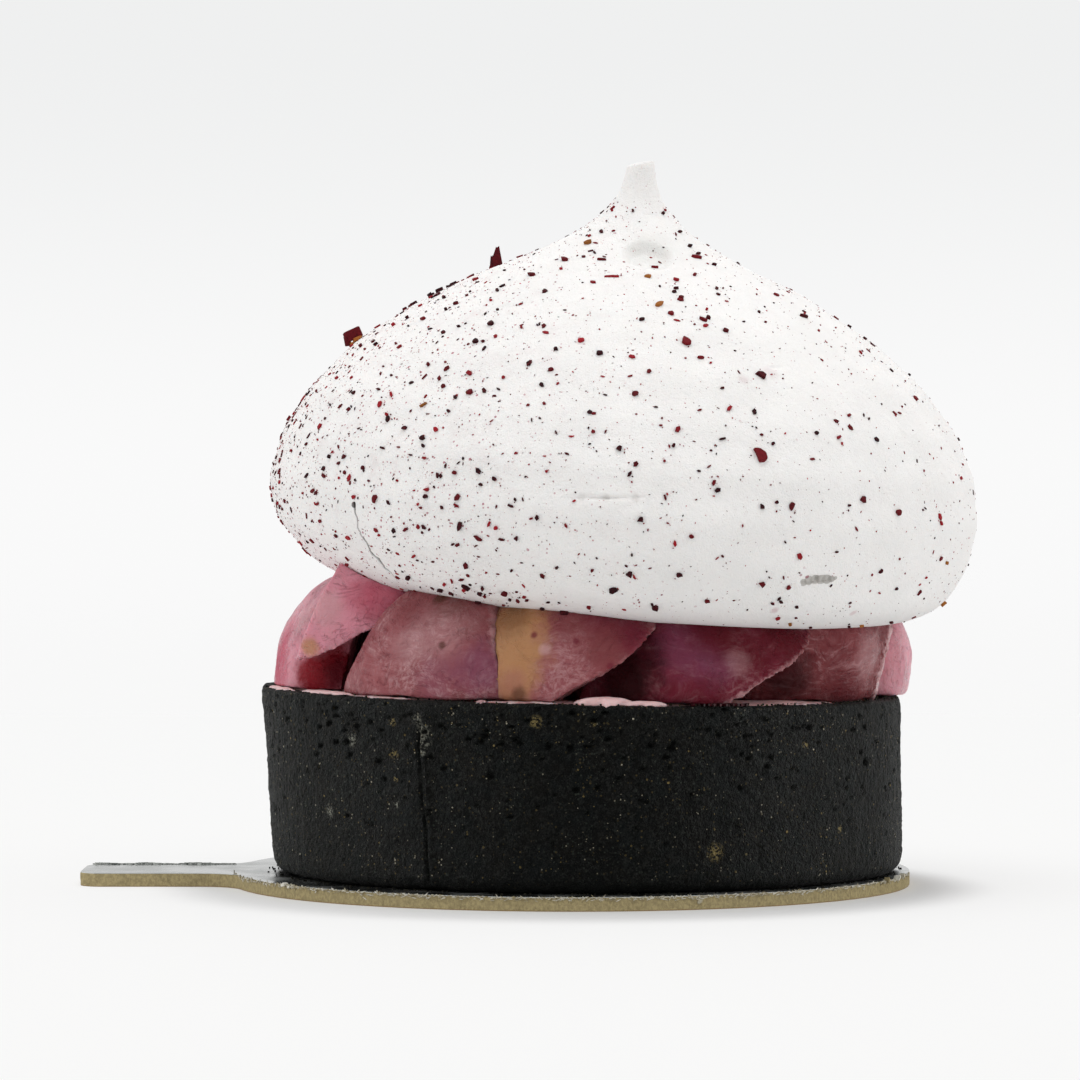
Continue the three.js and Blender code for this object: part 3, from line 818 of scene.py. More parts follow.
def meringue_material(colours, dome):
    """Chalky meringue: off-white, faintly mottled, with a sandy skin and dusted with pink."""
    material, shader, bsdf = new_material("Meringue")
    place = shader.millimetres()
    grain = group_node(shader, "Dry grain", place, {"Coarse": 0.9, "Fine": 5.0, "Fine share": 0.7})
    mottle = shader.ramp(shader.noise(place, 0.12, 4.0, 0.6), 0.3, 0.7)
    base = shader.mix(mottle, rgba(colours.meringue, 0.97), rgba(colours.meringue, 1.015))
    # The pink dust thins out towards the right.
    across = shader.add("ShaderNodeSeparateXYZ", {0: place}).outputs[0]
    left = shader.ramp(across, 22, -34)
    cloud = shader.ramp(shader.noise(place, 0.35, 4.0, 0.7), 0.5, 0.75)
    tinge = shader.times(shader.times(cloud, shader.plus(left, 0.15)), 0.2)
    base = shader.mix(tinge, base, rgba(colours.stain))
    for cells, share, size, amount in MERINGUE_SPECKS:
        spots = group_node(shader, "Specks", place, {"Cells": cells, "Share": share, "Size": size})
        mask = shader.times(spots["Mask"], shader.plus(left, 0.3), clamp=True)
        chosen = shader.math("LESS_THAN", spots["Tone"], shader.plus(left, 0.2))
        mask = shader.times(shader.times(mask, chosen), amount)
        base = shader.mix(mask, base, rgba(colours.dust))
    base = blotted(shader, base, place, dome, MERINGUE_BLOTS, colours)
    # The crack's foot is painted dark, as painted shade inside the crack.
    deep = shader.ramp(shader.attribute("deep"), 0.0, 0.35)
    base = shader.mix(deep, base, rgba(colours.crack))
    link_to(shader, bsdf, Base_Color=base, Normal=bump(shader, grain["Height"], 0.16 * MM))
    set_inputs(bsdf, {
        "Roughness": 0.95, "Specular IOR Level": 0.15, "Subsurface Weight": 0.15,
        "Subsurface Scale": 0.5 * MM, "Subsurface Radius": (1.0, 0.8, 0.7),
    })
    return material


def flake_material(name, dark, bright, roughness=0.6, shine=0.1):
    """Dried fruit, from one colour to the other by each flake's own tone."""
    material, shader, bsdf = new_material(name)
    grain = shader.noise(shader.millimetres(), 3.5, 2.0, 0.6)
    unevenness = shader.times(shader.minus(grain, 0.5), 0.5)
    varied = shader.plus(shader.attribute("tone"), unevenness, clamp=True)
    base = shader.mix(varied, rgba(dark), rgba(bright))
    link_to(shader, bsdf, Base_Color=base, Normal=bump(shader, grain, 0.08 * MM))
    set_inputs(bsdf, {"Roughness": roughness, "Specular IOR Level": shine})
    return material


# ---- Card ----------------------------------------------------------------------------------------


def card_layer(name, low, high):
    """The card's outline, cut down to the stretch between two heights."""
    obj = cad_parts["card"].copy()
    obj.data = obj.data.copy()
    obj.parent = None
    for key in list(obj.keys()):
        del obj[key]
    bpy.context.scene.collection.objects.link(obj)
    obj.name = obj.data.name = name
    with editing(obj):
        bpy.ops.mesh.select_all(action="SELECT")
        bpy.ops.mesh.remove_doubles(threshold=0.002 * MM)
        bpy.ops.mesh.dissolve_limited(angle_limit=math.radians(1))
    if low > CARD_LOW.z:
        cut_away(obj, (0, 0, low), (0, 0, -1))
    if high < CARD_HIGH.z:
        cut_away(obj, (0, 0, high), (0, 0, 1))
    return obj


def select_faces(obj, rule):
    mesh = bmesh.from_edit_mesh(obj.data)
    for face in mesh.faces:
        face.select_set(rule(face.calc_center_median(), face.normal))
    bmesh.update_edit_mesh(obj.data)


class TART_OT_card(bpy.types.Operator):
    """Build the tabbed card: greyboard between a silver face and a gold paper underside"""

    bl_idname = "tart.card"
    bl_label = "Card"

    def execute(self, context):
        sizes, colours = context.scene.tart_sizes, context.scene.tart_colours
        liner_top = CARD_LOW.z + sizes.liner
        foil_foot = CARD_HIGH.z - sizes.foil
        board = card_layer("card_board", liner_top, foil_foot)
        foil = card_layer("card_foil", foil_foot, CARD_HIGH.z)
        liner = card_layer("card_liner", CARD_LOW.z, liner_top)
        with editing(board):
            select_faces(board, lambda centre, normal: abs(normal.z) < 0.5)
            bpy.ops.mesh.subdivide(number_cuts=6)
        side = np.abs(points_of(board)[:, 2] - (liner_top + foil_foot) / 2) < 0.6 * MM
        group = weight(board, "edge", side.astype(float))
        roughen(board, 0.9 * MM, 0.09 * MM, depth=3, group=group)
        shade_smooth(board, 50)
        piece(board, "card", board_material(colours), replaces=["card"])

        piece(foil, "card", foil_material(colours))
        piece(liner, "card", liner_material(colours))
        return {"FINISHED"}


# ---- Pastry shell ----------------------------------------------------------------------------------


def lean_with_shell(points, height):
    """Leans a body of revolution as the shell leans, and slopes its rim."""
    x, y, z = points.T
    upper = smoothstep(z, 3 * MM, height)
    z = z - upper * RIM_SLOPE * x
    x = x + SHELL_LEAN * (1 - z / height)
    return np.column_stack((x + TART_X - SHELL_LEAN / 2, y, z + SHELL_FOOT_Z))


SHELL_SEGMENTS = 236
WALL_RINGS = 20


def shell_rings(sizes, height):
    """The shell's section as (radius, height), from under its floor, up the wall and down inside."""
    rim, foot = sizes.shell_radius, sizes.shell_radius - sizes.shell_taper
    inner = rim - sizes.shell_wall
    steps = np.linspace(0, 1, WALL_RINGS)
    wall = [(foot + (rim - foot) * t, 1.6 * MM + (height - 2.2 * MM) * t) for t in steps]
    return [
        (foot - 8 * MM, 0), (foot - 1.7 * MM, 0), (foot - 1.0 * MM, 0.15 * MM),
        (foot - 0.35 * MM, 0.6 * MM), *wall,
        (rim - 0.12 * MM, height - 0.22 * MM), (rim - 0.45 * MM, height - 0.02 * MM),
        (rim - 0.8 * MM, height), (inner + 0.5 * MM, height), (inner + 0.05 * MM, height - 0.3 * MM),
        (inner, height - 1.5 * MM), (inner - 0.5 * MM, 3 * MM), (inner - 8 * MM, 3 * MM),
    ]


# Radius of the smallest air holes in the crust, and how much larger the largest ones are.
PORE_LEAST, PORE_SPREAD = 0.16 * MM, 0.4 * MM
# Marks on the crust as (across, up, size in millimetres), the first two as seen.
SEEN_PORES = [
    (-30.2, 14.8, 0.5), (-29.4, 11.2, 0.3), (-13, 18.3, 0.32), (-6.8, 18.3, 0.36), (35.2, 14.6, 0.7),
    (32.4, 9.3, 0.4), (37.4, 11.4, 0.45), (-34.2, 9.6, 0.4), (6.3, 12.6, 0.3), (-25, 17.4, 0.3),
    (24, 17.8, 0.35), (-14.6, 12.8, 0.28), (14.5, 5.9, 0.3), (29.6, 16.9, 0.35),
    (33.4, 10.3, 0.45), (30.3, 10, 0.4), (34.6, 7.5, 0.45), (33.3, 4.4, 0.4), (30, 3.1, 0.4),
    (21.2, 3, 0.4), (22.7, 2.2, 0.35), (23.6, 18.2, 0.35), (35.8, 4.6, 0.3), (35.8, 4, 0.34),
    (35.8, 3.4, 0.34), (35.8, 2.9, 0.3), (38.2, 7, 0.4), (-31.6, 6.2, 0.35), (-33, 13, 0.35),
]
FLOUR = [
    (-18.1, 19.2, 0.7), (-17.6, 18, 0.9), (-17.3, 16.6, 0.8), (-17.6, 15.4, 0.5), (-26, 16.8, 0.8),
    (-28.6, 8.4, 0.8), (-20.6, 9.2, 0.5),
]
OCHRE_MARKS = [
    (17.1, 3.6, 1.1), (27.7, 16.2, 0.5), (-21.2, 19, 0.5), (-20.9, 15.2, 0.6), (-4.2, 19, 0.8),
    (2.6, 18.8, 0.4), (31.8, 6.3, 0.5), (-20.8, 12.2, 0.35),
]


def front_mark(radius, middle, across, up):
    """The angle and height on an upright drum of a point seen from the front."""
    depth = -radius
    for _ in range(3):
        nearness = (depth - EYE.y) / -EYE.y
        x = EYE.x + (across * MM - EYE.x) * nearness - middle
        depth = -math.sqrt(max(radius**2 - x**2, 0))
    return math.atan2(depth, x), EYE.z + (up * MM - EYE.z) * nearness


def shell_mark(sizes, across, up):
    """The angle and level on the upright shell of a point seen from the front."""
    angle, height = front_mark(sizes.shell_radius, TART_X, across, up)
    return angle, height - SHELL_FOOT_Z


def press_pores(obj, sizes, scatter, height):
    """Sinks air holes of many sizes into the wall, and notes where they are, so that the material paints
    shade in them.
    """
    rng = random.Random(scatter.seed)
    points = points_of(obj)
    tree = kdtree.KDTree(len(points))
    for index, point in enumerate(points):
        tree.insert(point, index)
    tree.balance()
    pores = [(*shell_mark(sizes, across, up), size * MM) for across, up, size in SEEN_PORES]
    for _ in range(scatter.pores):
        level = rng.uniform(0.03, 0.985) * height
        angle = rng.uniform(-math.pi, math.pi)
        pores.append((angle, level, PORE_LEAST + PORE_SPREAD * rng.random() ** 4))
    sunk = np.zeros(len(points))
    dark = np.zeros(len(points))
    for angle, level, radius in pores:
        depth = radius * rng.uniform(0.9, 1.3)
        tall = rng.uniform(0.45, 0.9)
        centre = Vector((
            sizes.shell_radius * math.cos(angle), sizes.shell_radius * math.sin(angle), level
        ))
        for place, index, _ in tree.find_range(centre, radius * 2.2):
            offset = place - centre
            flat = math.hypot(offset.x, offset.y)
            reach = math.hypot(flat, offset.z / tall) / radius
            if reach < 1:
                sunk[index] = max(sunk[index], depth * (1 - reach**2) ** 0.8)
                dark[index] = max(dark[index], 1 - reach**2)
    out = points[:, :2] / np.maximum(np.hypot(points[:, 0], points[:, 1]), 1e-9)[:, None]
    points[:, :2] -= out * sunk[:, None]
    set_points(obj, points)
    note(obj.data, "pit", dark)


def press_seam(points, sizes, height):
    """The step and groove where the two ends of the pastry strip were pushed together."""
    angle = np.arctan2(points[:, 1], points[:, 0])
    up = points[:, 2]
    wander = 0.14 * MM * np.sin(up / (3.1 * MM)) + 0.08 * MM * np.sin(up / (0.9 * MM))
    away = (angle - SEAM_ANGLE) * sizes.shell_radius - wander
    level = smoothstep(up, 0.5 * MM, 2 * MM) * (1 - smoothstep(up, 0.86 * height, 0.97 * height))
    groove = 0.34 * MM * np.exp(-((away / (0.2 * MM)) ** 2))
    lip = 0.2 * MM * np.exp(-(((away - 0.5 * MM) / (0.4 * MM)) ** 2))
    radius = np.hypot(points[:, 0], points[:, 1])
    on_wall = radius > sizes.shell_radius - 1.6 * MM
    change = (lip - groove) * level * on_wall
    points[:, 0] += change * points[:, 0] / np.maximum(radius, 1e-9)
    points[:, 1] += change * points[:, 1] / np.maximum(radius, 1e-9)
    return points


class TART_OT_crust(bpy.types.Operator):
    """Build the charcoal pastry shell with its crumb, its air holes and its seam"""

    bl_idname = "tart.crust"
    bl_label = "Pastry shell"

    def execute(self, context):
        scene = context.scene
        sizes = scene.tart_sizes
        height = SHELL_HEIGHT
        shell = ring_stack("crust", shell_rings(sizes, height), SHELL_SEGMENTS)
        subdivide(shell, 2)
        close_ends(shell)
        inside_wall = sizes.shell_radius - sizes.shell_wall - 0.2 * MM
        outside = np.hypot(*points_of(shell)[:, :2].T) > inside_wall
        group = weight(shell, "outside", outside.astype(float))
        roughen(shell, 9 * MM, 0.16 * MM, depth=1, group=group)
        roughen(shell, 1.5 * MM, sizes.crust_grain * 0.8, depth=2, group=group)
        roughen(shell, 0.55 * MM, sizes.crust_grain * 0.6, depth=1, group=group)
        press_pores(shell, sizes, scene.tart_scatter, height)
        reshape(shell, lambda points: press_seam(points, sizes, height))
        reshape(shell, lambda points: lean_with_shell(points, height))
        shade_smooth(shell, 80)
        material = crust_material(scene.tart_colours, shell)
        piece(shell, "crust", material, replaces=["pastry_shell"])
        return {"FINISHED"}


# ---- Cream -------------------------------------------------------------------------------------------


RIM_UP = 21  # the height at which the rim is seen, in millimetres
CREAM_SEGMENTS = 96
# The rings of the cream's top, as shares of its radius.
CREAM_RINGS = (0.93, 0.87, 0.8, 0.72, 0.62, 0.5, 0.35, 0.18, 0.05)
# Films on the rim as (across from, across to, width, thickness, how far it hangs outside the rim,
# whether it is cream).
RIM_FILMS = [
    (-26.6, -18.8, 0.45, 0.16, -0.25, False), (-11.1, -9.9, 0.45, 0.25, 0.0, False),
    (-9.9, -1.2, 0.45, 0.2, -0.2, False), (-36.2, -33.4, 0.7, 0.25, -0.35, True),
    (-32.9, -26.6, 0.8, 0.4, -0.85, True), (0.6, 8.5, 0.8, 0.9, -0.75, True),
    (6.2, 12.2, 0.6, 0.5, -0.5, True), (27, 31, 0.45, 0.18, -0.25, False),
]


def rim_film(sizes, name, start, end, wide, thick, hang):
    """A wet film that lies along the rim, between two places seen from the front."""
    (first, _), (last, _) = (shell_mark(sizes, across, RIM_UP) for across in (start, end))
    bpy.ops.mesh.primitive_uv_sphere_add(segments=40, ring_count=16, radius=1)
    film = newest(name)
    subdivide(film, 1)
    seed = random.Random(name)
    phase = seed.uniform(0, 6)

    def along_rim(points):
        x, y, z = points.T
        angle = (first + last) / 2 + x * (last - first) / 2
        swell = 1 + 0.35 * np.sin(7 * x + phase) + 0.2 * np.sin(17 * x + 2 * phase)
        radius = sizes.shell_radius - 0.75 * MM + hang * MM + y * wide * swell * MM
        height = SHELL_HEIGHT + z * thick * MM
        overhang = np.maximum(radius - (sizes.shell_radius - 0.5 * MM), 0)
        height = height - 1.4 * overhang
        return np.column_stack((radius * np.cos(angle), radius * np.sin(angle), height))

    reshape(film, along_rim)
    roughen(film, 1.1 * MM, 0.1 * MM, depth=2)
    reshape(film, lambda points: lean_with_shell(points, SHELL_HEIGHT))
    shade_smooth(film, 80)
    return film


class TART_OT_cream(bpy.types.Operator):
    """Build the cream that fills the shell, and the film of syrup on its rim"""

    bl_idname = "tart.cream"
    bl_label = "Cream"

    def execute(self, context):
        scene = context.scene
        sizes = scene.tart_sizes
        height = SHELL_HEIGHT
        radius = sizes.shell_radius - sizes.shell_wall + 0.02 * MM
        low = 3.2 * MM
        rings = [
            (radius - 3 * MM, low), (radius - 0.7 * MM, low), (radius - 0.3 * MM, height * 0.6),
            (radius, height - 0.8 * MM), (radius - 0.15 * MM, height - 0.1 * MM),
            (radius - 0.7 * MM, height + 0.12 * MM),
        ]
        rings += [(radius * share, height + 0.15 * MM) for share in CREAM_RINGS]
        cream = ring_stack("cream_filling", rings, CREAM_SEGMENTS)
        subdivide(cream, 2)
        close_ends(cream)
        top = smoothstep(points_of(cream)[:, 2], height - 1 * MM, height)
        group = weight(cream, "top", top)
        roughen(cream, 5 * MM, sizes.cream_dip, depth=2, group=group)
        reshape(cream, lambda points: lean_with_shell(points, height))
        shade_smooth(cream, 60)
        pink = cream_material(scene.tart_colours)
        piece(cream, "cream", pink, replaces=["cream"])

        syrup = film_material(scene.tart_colours)
        for number, (*values, is_cream) in enumerate(RIM_FILMS, start=1):
            film = rim_film(sizes, f"rim_film_{number}", *values)
            piece(film, "cream", pink if is_cream else syrup)
        return {"FINISHED"}


# ---- Meringue ----------------------------------------------------------------------------------------


def pipe_shape(points):
    """How the piped dome departs from a body of revolution, in its own frame."""
    x, y, z = points.T.copy()
    angle = np.arctan2(y, x)
    lobe = LOBE * smoothstep(np.hypot(x, y), 10 * MM, 36 * MM)
    swell = lobe * (0.6 * np.sin(2 * angle + 0.6) + 0.5 * np.sin(3 * angle - 0.8))
    x += swell * np.cos(angle) + PEAK_DRIFT * smoothstep(z, 37 * MM, 46 * MM)
    x += FOOT_DRIFT * (1 - smoothstep(z, 0, 12 * MM))
    y += swell * np.sin(angle)
    z -= FOOT_SLOPE * x * (1 - smoothstep(z, 0, 10 * MM))
    z += PEAK_SLANT * x * smoothstep(z, PEAK_HEIGHT - 0.6 * MM, PEAK_HEIGHT)
    return np.column_stack((x, y, z))


def dome_blank(name, steps, segments, levels=0):
    """The piped dome, without its marks: with so many rings to each stretch of its outline."""
    side = spline(DOME_OUTLINE, steps)
    foot = [(k * DOME_OUTLINE[0][0], 0) for k in (0.06, 0.3, 0.55, 0.75, 0.9)]
    tip_radius, tip_height = DOME_OUTLINE[-1]
    tip = [(tip_radius * 0.8, tip_height + 0.12 * MM), (tip_radius * 0.3, tip_height + 0.15 * MM)]
    dome = ring_stack(name, foot + side + tip, segments)
    reshape(dome, pipe_shape)
    if levels:
        subdivide(dome, levels)
    close_ends(dome)
    return dome


def dent(obj, centre, normal, turn, long, wide, depth, edge=0.5):
    """Presses an oval hollow into the surface. Edge is the share of it that slopes."""
    axes = surface_axes(normal, turn).transposed().to_3x3()
    points = points_of(obj)
    local = (points - np.array(centre)) @ np.array(axes).T
    reach = np.hypot(local[:, 0] / (long / 2), local[:, 1] / (wide / 2))
    near = (np.abs(local[:, 2]) < max(long, 6 * depth)) & (reach < 1)
    sink = depth * (1 - smoothstep(reach, 1 - edge, 1)) * near
    set_points(obj, points - sink[:, None] * np.array(normal))


def refine(obj, centres, reach):
    """Splits the faces about some places more finely."""
    with editing(obj):
        select_faces(obj, lambda middle, normal: any((middle - c).length < reach for c in centres))
        bpy.ops.mesh.subdivide(number_cuts=2)


# The course of the crack low on the left, as seen.
CRACK = [
    (-25.75, 45.1), (-25.69, 44.5), (-25.4, 43.1), (-25.3, 42), (-24.8, 41.1),
    (-24.3, 40.3), (-23.8, 39.2), (-23.2, 38.6), (-22.6, 38), (-22.1, 37.3), (-21.4, 36.7),
    (-20.9, 36.2), (-20.5, 35.7),
]
CRACK_DEPTH = 1.1 * MM
CRACK_WIDTH = 0.4 * MM
CRACK_SHAKE = 0.08  # millimetres
CREASE_UP = 45.6  # the height at which the long level crease is seen
# The crack's width along its course, as a share of its widest.
CRACK_WIDTHS = (0.7, 0.6, 0.45, 0.45, 0.5, 0.8, 0.9, 1.0, 1.0, 0.8, 0.6, 0.4, 0.2)
# Hollows as (across, up, turn, long, wide, depth, share of it that slopes), the first two as seen.
HOLLOWS = [
    (9.2, 74.3, 0, 6.6, 7.4, 1.2, 0.45), (4.1, 45.6, 1, 11.5, 0.75, 0.3, 1.0),
    (3.2, 45.75, -3, 6, 0.6, 0.2, 1.0), (-7.6, 68.2, 4, 6, 1.4, 0.14, 1.0),
    (28.3, 35.85, 6, 3.0, 1.3, 0.3, 0.25), (30.0, 35.95, -2, 2.6, 1.1, 0.3, 0.25),
    (24.2, 61, 5, 3, 1, 0.12, 1.0),
]
# Blots as (across, up, reach, colour, amount, softness), the first two as seen. Where no softness
# is given, a blot fades out widely.
MERINGUE_BLOTS = [
    # The grey blots on the chip low on the right and along the crease are partly chipped skin and partly
    # painted shade; the dark one where the crack starts is painted shade.
    (27.5, 35.55, 0.6, "chipped_skin_and_shade", 0.75, 0.08), (28.1, 35.8, 0.75, "chipped_skin_and_shade", 0.75, 0.08),
    (28.8, 35.95, 0.8, "chipped_skin_and_shade", 0.75, 0.08), (29.5, 35.95, 0.8, "chipped_skin_and_shade", 0.75, 0.08),
    (30.2, 35.95, 0.7, "chipped_skin_and_shade", 0.75, 0.08), (30.8, 36, 0.5, "chipped_skin_and_shade", 0.75, 0.08),
    (31.3, 36.05, 0.3, "chipped_skin_and_shade", 0.75, 0.1), (27.95, 36.2, 0.32, "stain_dark", 0.8, 0.2),
    (27.2, 36.4, 0.22, "stain_dark", 0.6, 0.2), (-25.75, 44.75, 0.42, "crack_start_shade", 0.9, 0.15),
    (24.05, 32.2, 0.6, "stain", 0.6), (33.4, 31.9, 0.5, "stain", 0.5), (20.4, 59.6, 0.8, "stain", 0.3),
    # The grey blot in the hollow under the peak is painted shade.
    (9.2, 74.6, 3.4, "hollow_shade", 0.45),
    (23.6, 60.4, 1.2, "stain", 0.2), (4.1, 45.5, 0.6, "chipped_skin_and_shade", 0.3), (7.6, 45.6, 0.6, "chipped_skin_and_shade", 0.25),
    (1.2, 45.6, 0.6, "chipped_skin_and_shade", 0.2),
]


def jagged(path, widths, parts, shake, seed=5):
    """Splits each stretch of a path into parts and shakes the points between."""
    rng = random.Random(seed)
    out = []
    for i in range(len(path) - 1):
        for part in range(parts):
            t = part / parts
            across, up, wide = (
                a + (b - a) * t for a, b in zip((*path[i], widths[i]), (*path[i + 1], widths[i + 1]))
            )
            out.append((across + rng.uniform(-shake, shake), up, wide * rng.uniform(0.7, 1.2)))
    return out + [(*path[-1], widths[-1])]


def crack_cutter(dome, path, width, depth):
    """A wedge that follows a path on the dome, and the points along its foot."""
    verts, faces, feet = [], [], []
    for i, (across, up, share) in enumerate(path):
        place, normal = seen_point(dome, across, up)
        ahead = path[min(i + 3, len(path) - 1)]
        behind = path[max(i - 3, 0)]
        along = Vector((ahead[0] - behind[0], 0, ahead[1] - behind[1])).normalized()
        side = normal.cross(along).normalized()
        half = width / 2 * share
        top = place + normal * 0.4 * MM
        foot = place - normal * depth
        verts += [top + side * half * 1.9, top - side * half * 1.9, foot]
        feet.append(foot)
        if i:
            a, b = 3 * (i - 1), 3 * i
            for j in range(3):
                k = (j + 1) % 3
                faces.append((a + j, a + k, b + k, b + j))
    faces += [(0, 2, 1), (len(verts) - 3, len(verts) - 2, len(verts) - 1)]
    mesh = bpy.data.meshes.new("crack")
    mesh.from_pydata(verts, [], faces)
    cutter = new_object("crack", mesh)
    with editing(cutter):
        bpy.ops.mesh.select_all(action="SELECT")
        bpy.ops.mesh.normals_make_consistent(inside=False)
    return cutter, feet


class TART_OT_meringue(bpy.types.Operator):
    """Build the piped meringue with its pulled peak, its dents and its crack"""

    bl_idname = "tart.meringue"
    bl_label = "Meringue"

    def execute(self, context):
        scene = context.scene
        sizes = scene.tart_sizes
        dome = dome_blank("meringue_dome", 4, 96, levels=2)
        height = points_of(dome)[:, 2]
        below_peak = 1 - smoothstep(height, 44 * MM, 50 * MM)
        group = weight(dome, "skin", smoothstep(height, 0.2 * MM, 3 * MM) * below_peak)
        roughen(dome, 16 * MM, sizes.dome_swell, depth=1, group=group)
        roughen(dome, 4.5 * MM, sizes.dome_swell * 0.22, depth=2, group=group)
        roughen(dome, 1.1 * MM, 0.028 * MM, depth=2, group=group)
        reshape(dome, self.piping_bands)
        move_mesh(dome, DOME_PLACE)
        self.press_marks(dome)
        course = jagged(CRACK, CRACK_WIDTHS, 2, CRACK_SHAKE)
        cutter, feet = crack_cutter(dome, course, CRACK_WIDTH, CRACK_DEPTH)
        cut_with(dome, cutter)
        # The points along the crack's foot are noted, so that the material paints shade there.
        away = [np.linalg.norm(points_of(dome) - np.array(foot), axis=1) for foot in feet]
        note(dome.data, "deep", np.min(away, axis=0) < 0.03 * MM)
        shade_smooth(dome, 60)
        material = meringue_material(scene.tart_colours, dome)
        piece(dome, "meringue", material, replaces=["meringue"])
        return {"FINISHED"}

    @staticmethod
    def piping_bands(points):
        """The faint level ripples that piping leaves."""
        x, y, z = points.T
        radius = np.maximum(np.hypot(x, y), 1e-6)
        angle = np.arctan2(y, x)
        phase = z / (5.2 * MM) * 2 * math.pi + 1.2 * np.sin(angle + 0.5)
        swell = 0.09 * MM * np.sin(phase) * smoothstep(z, 2 * MM, 8 * MM)
        swell = swell * (1 - smoothstep(z, 38 * MM, 44 * MM))
        return np.column_stack((x * (1 + swell / radius), y * (1 + swell / radius), z))

    @staticmethod
    def press_marks(dome):
        spots = [seen_point(dome, across, up) for across, up, *_ in HOLLOWS]
        crease = [seen_point(dome, across, CREASE_UP)[0] for across in (-0.5, 2, 6.5, 9)]
        refine(dome, [place for place, _ in spots] + crease, 2.6 * MM)
        for (place, normal), (_, _, turn, long, wide, depth, edge) in zip(spots, HOLLOWS):
            dent(dome, place, normal, turn, long * MM, wide * MM, depth * MM, edge)


# ---- Fruit -------------------------------------------------------------------------------------------

PRESSED = 0.28 * MM  # how far the fruit is pressed into the meringue
PRESSED_TOGETHER = 0.12  # how far the slices are pressed into each other, in millimetres
CREAM_TOP = 21.27 * MM  # above the shell's foot
FLESH_GRID = 0.28 * MM

# Each slice is a rounded fruit between knife cuts. Its own X runs along the ring to the right, Y
# points in to the tart's centre and Z up, seen from outside. Sizes are in millimetres, angles in
# degrees. It lies on the slices that "over" names.
SLICE = {
    "ring": 24.5, "height": 23.5, "along": 15, "deep": 12.4, "tall": 13.6, "yaw": 10,
    "left": 14, "left_slant": 20, "right": 10, "right_slant": 30, "right_in": 0.25, "inner": 8,
    "lower": 20, "lower_slant": 30, "over": (),
    "flesh": "rose", "blush": 0.35, "vein": 0.35, "fibre": 0.3, "edge": 0.5, "blots": (),
}
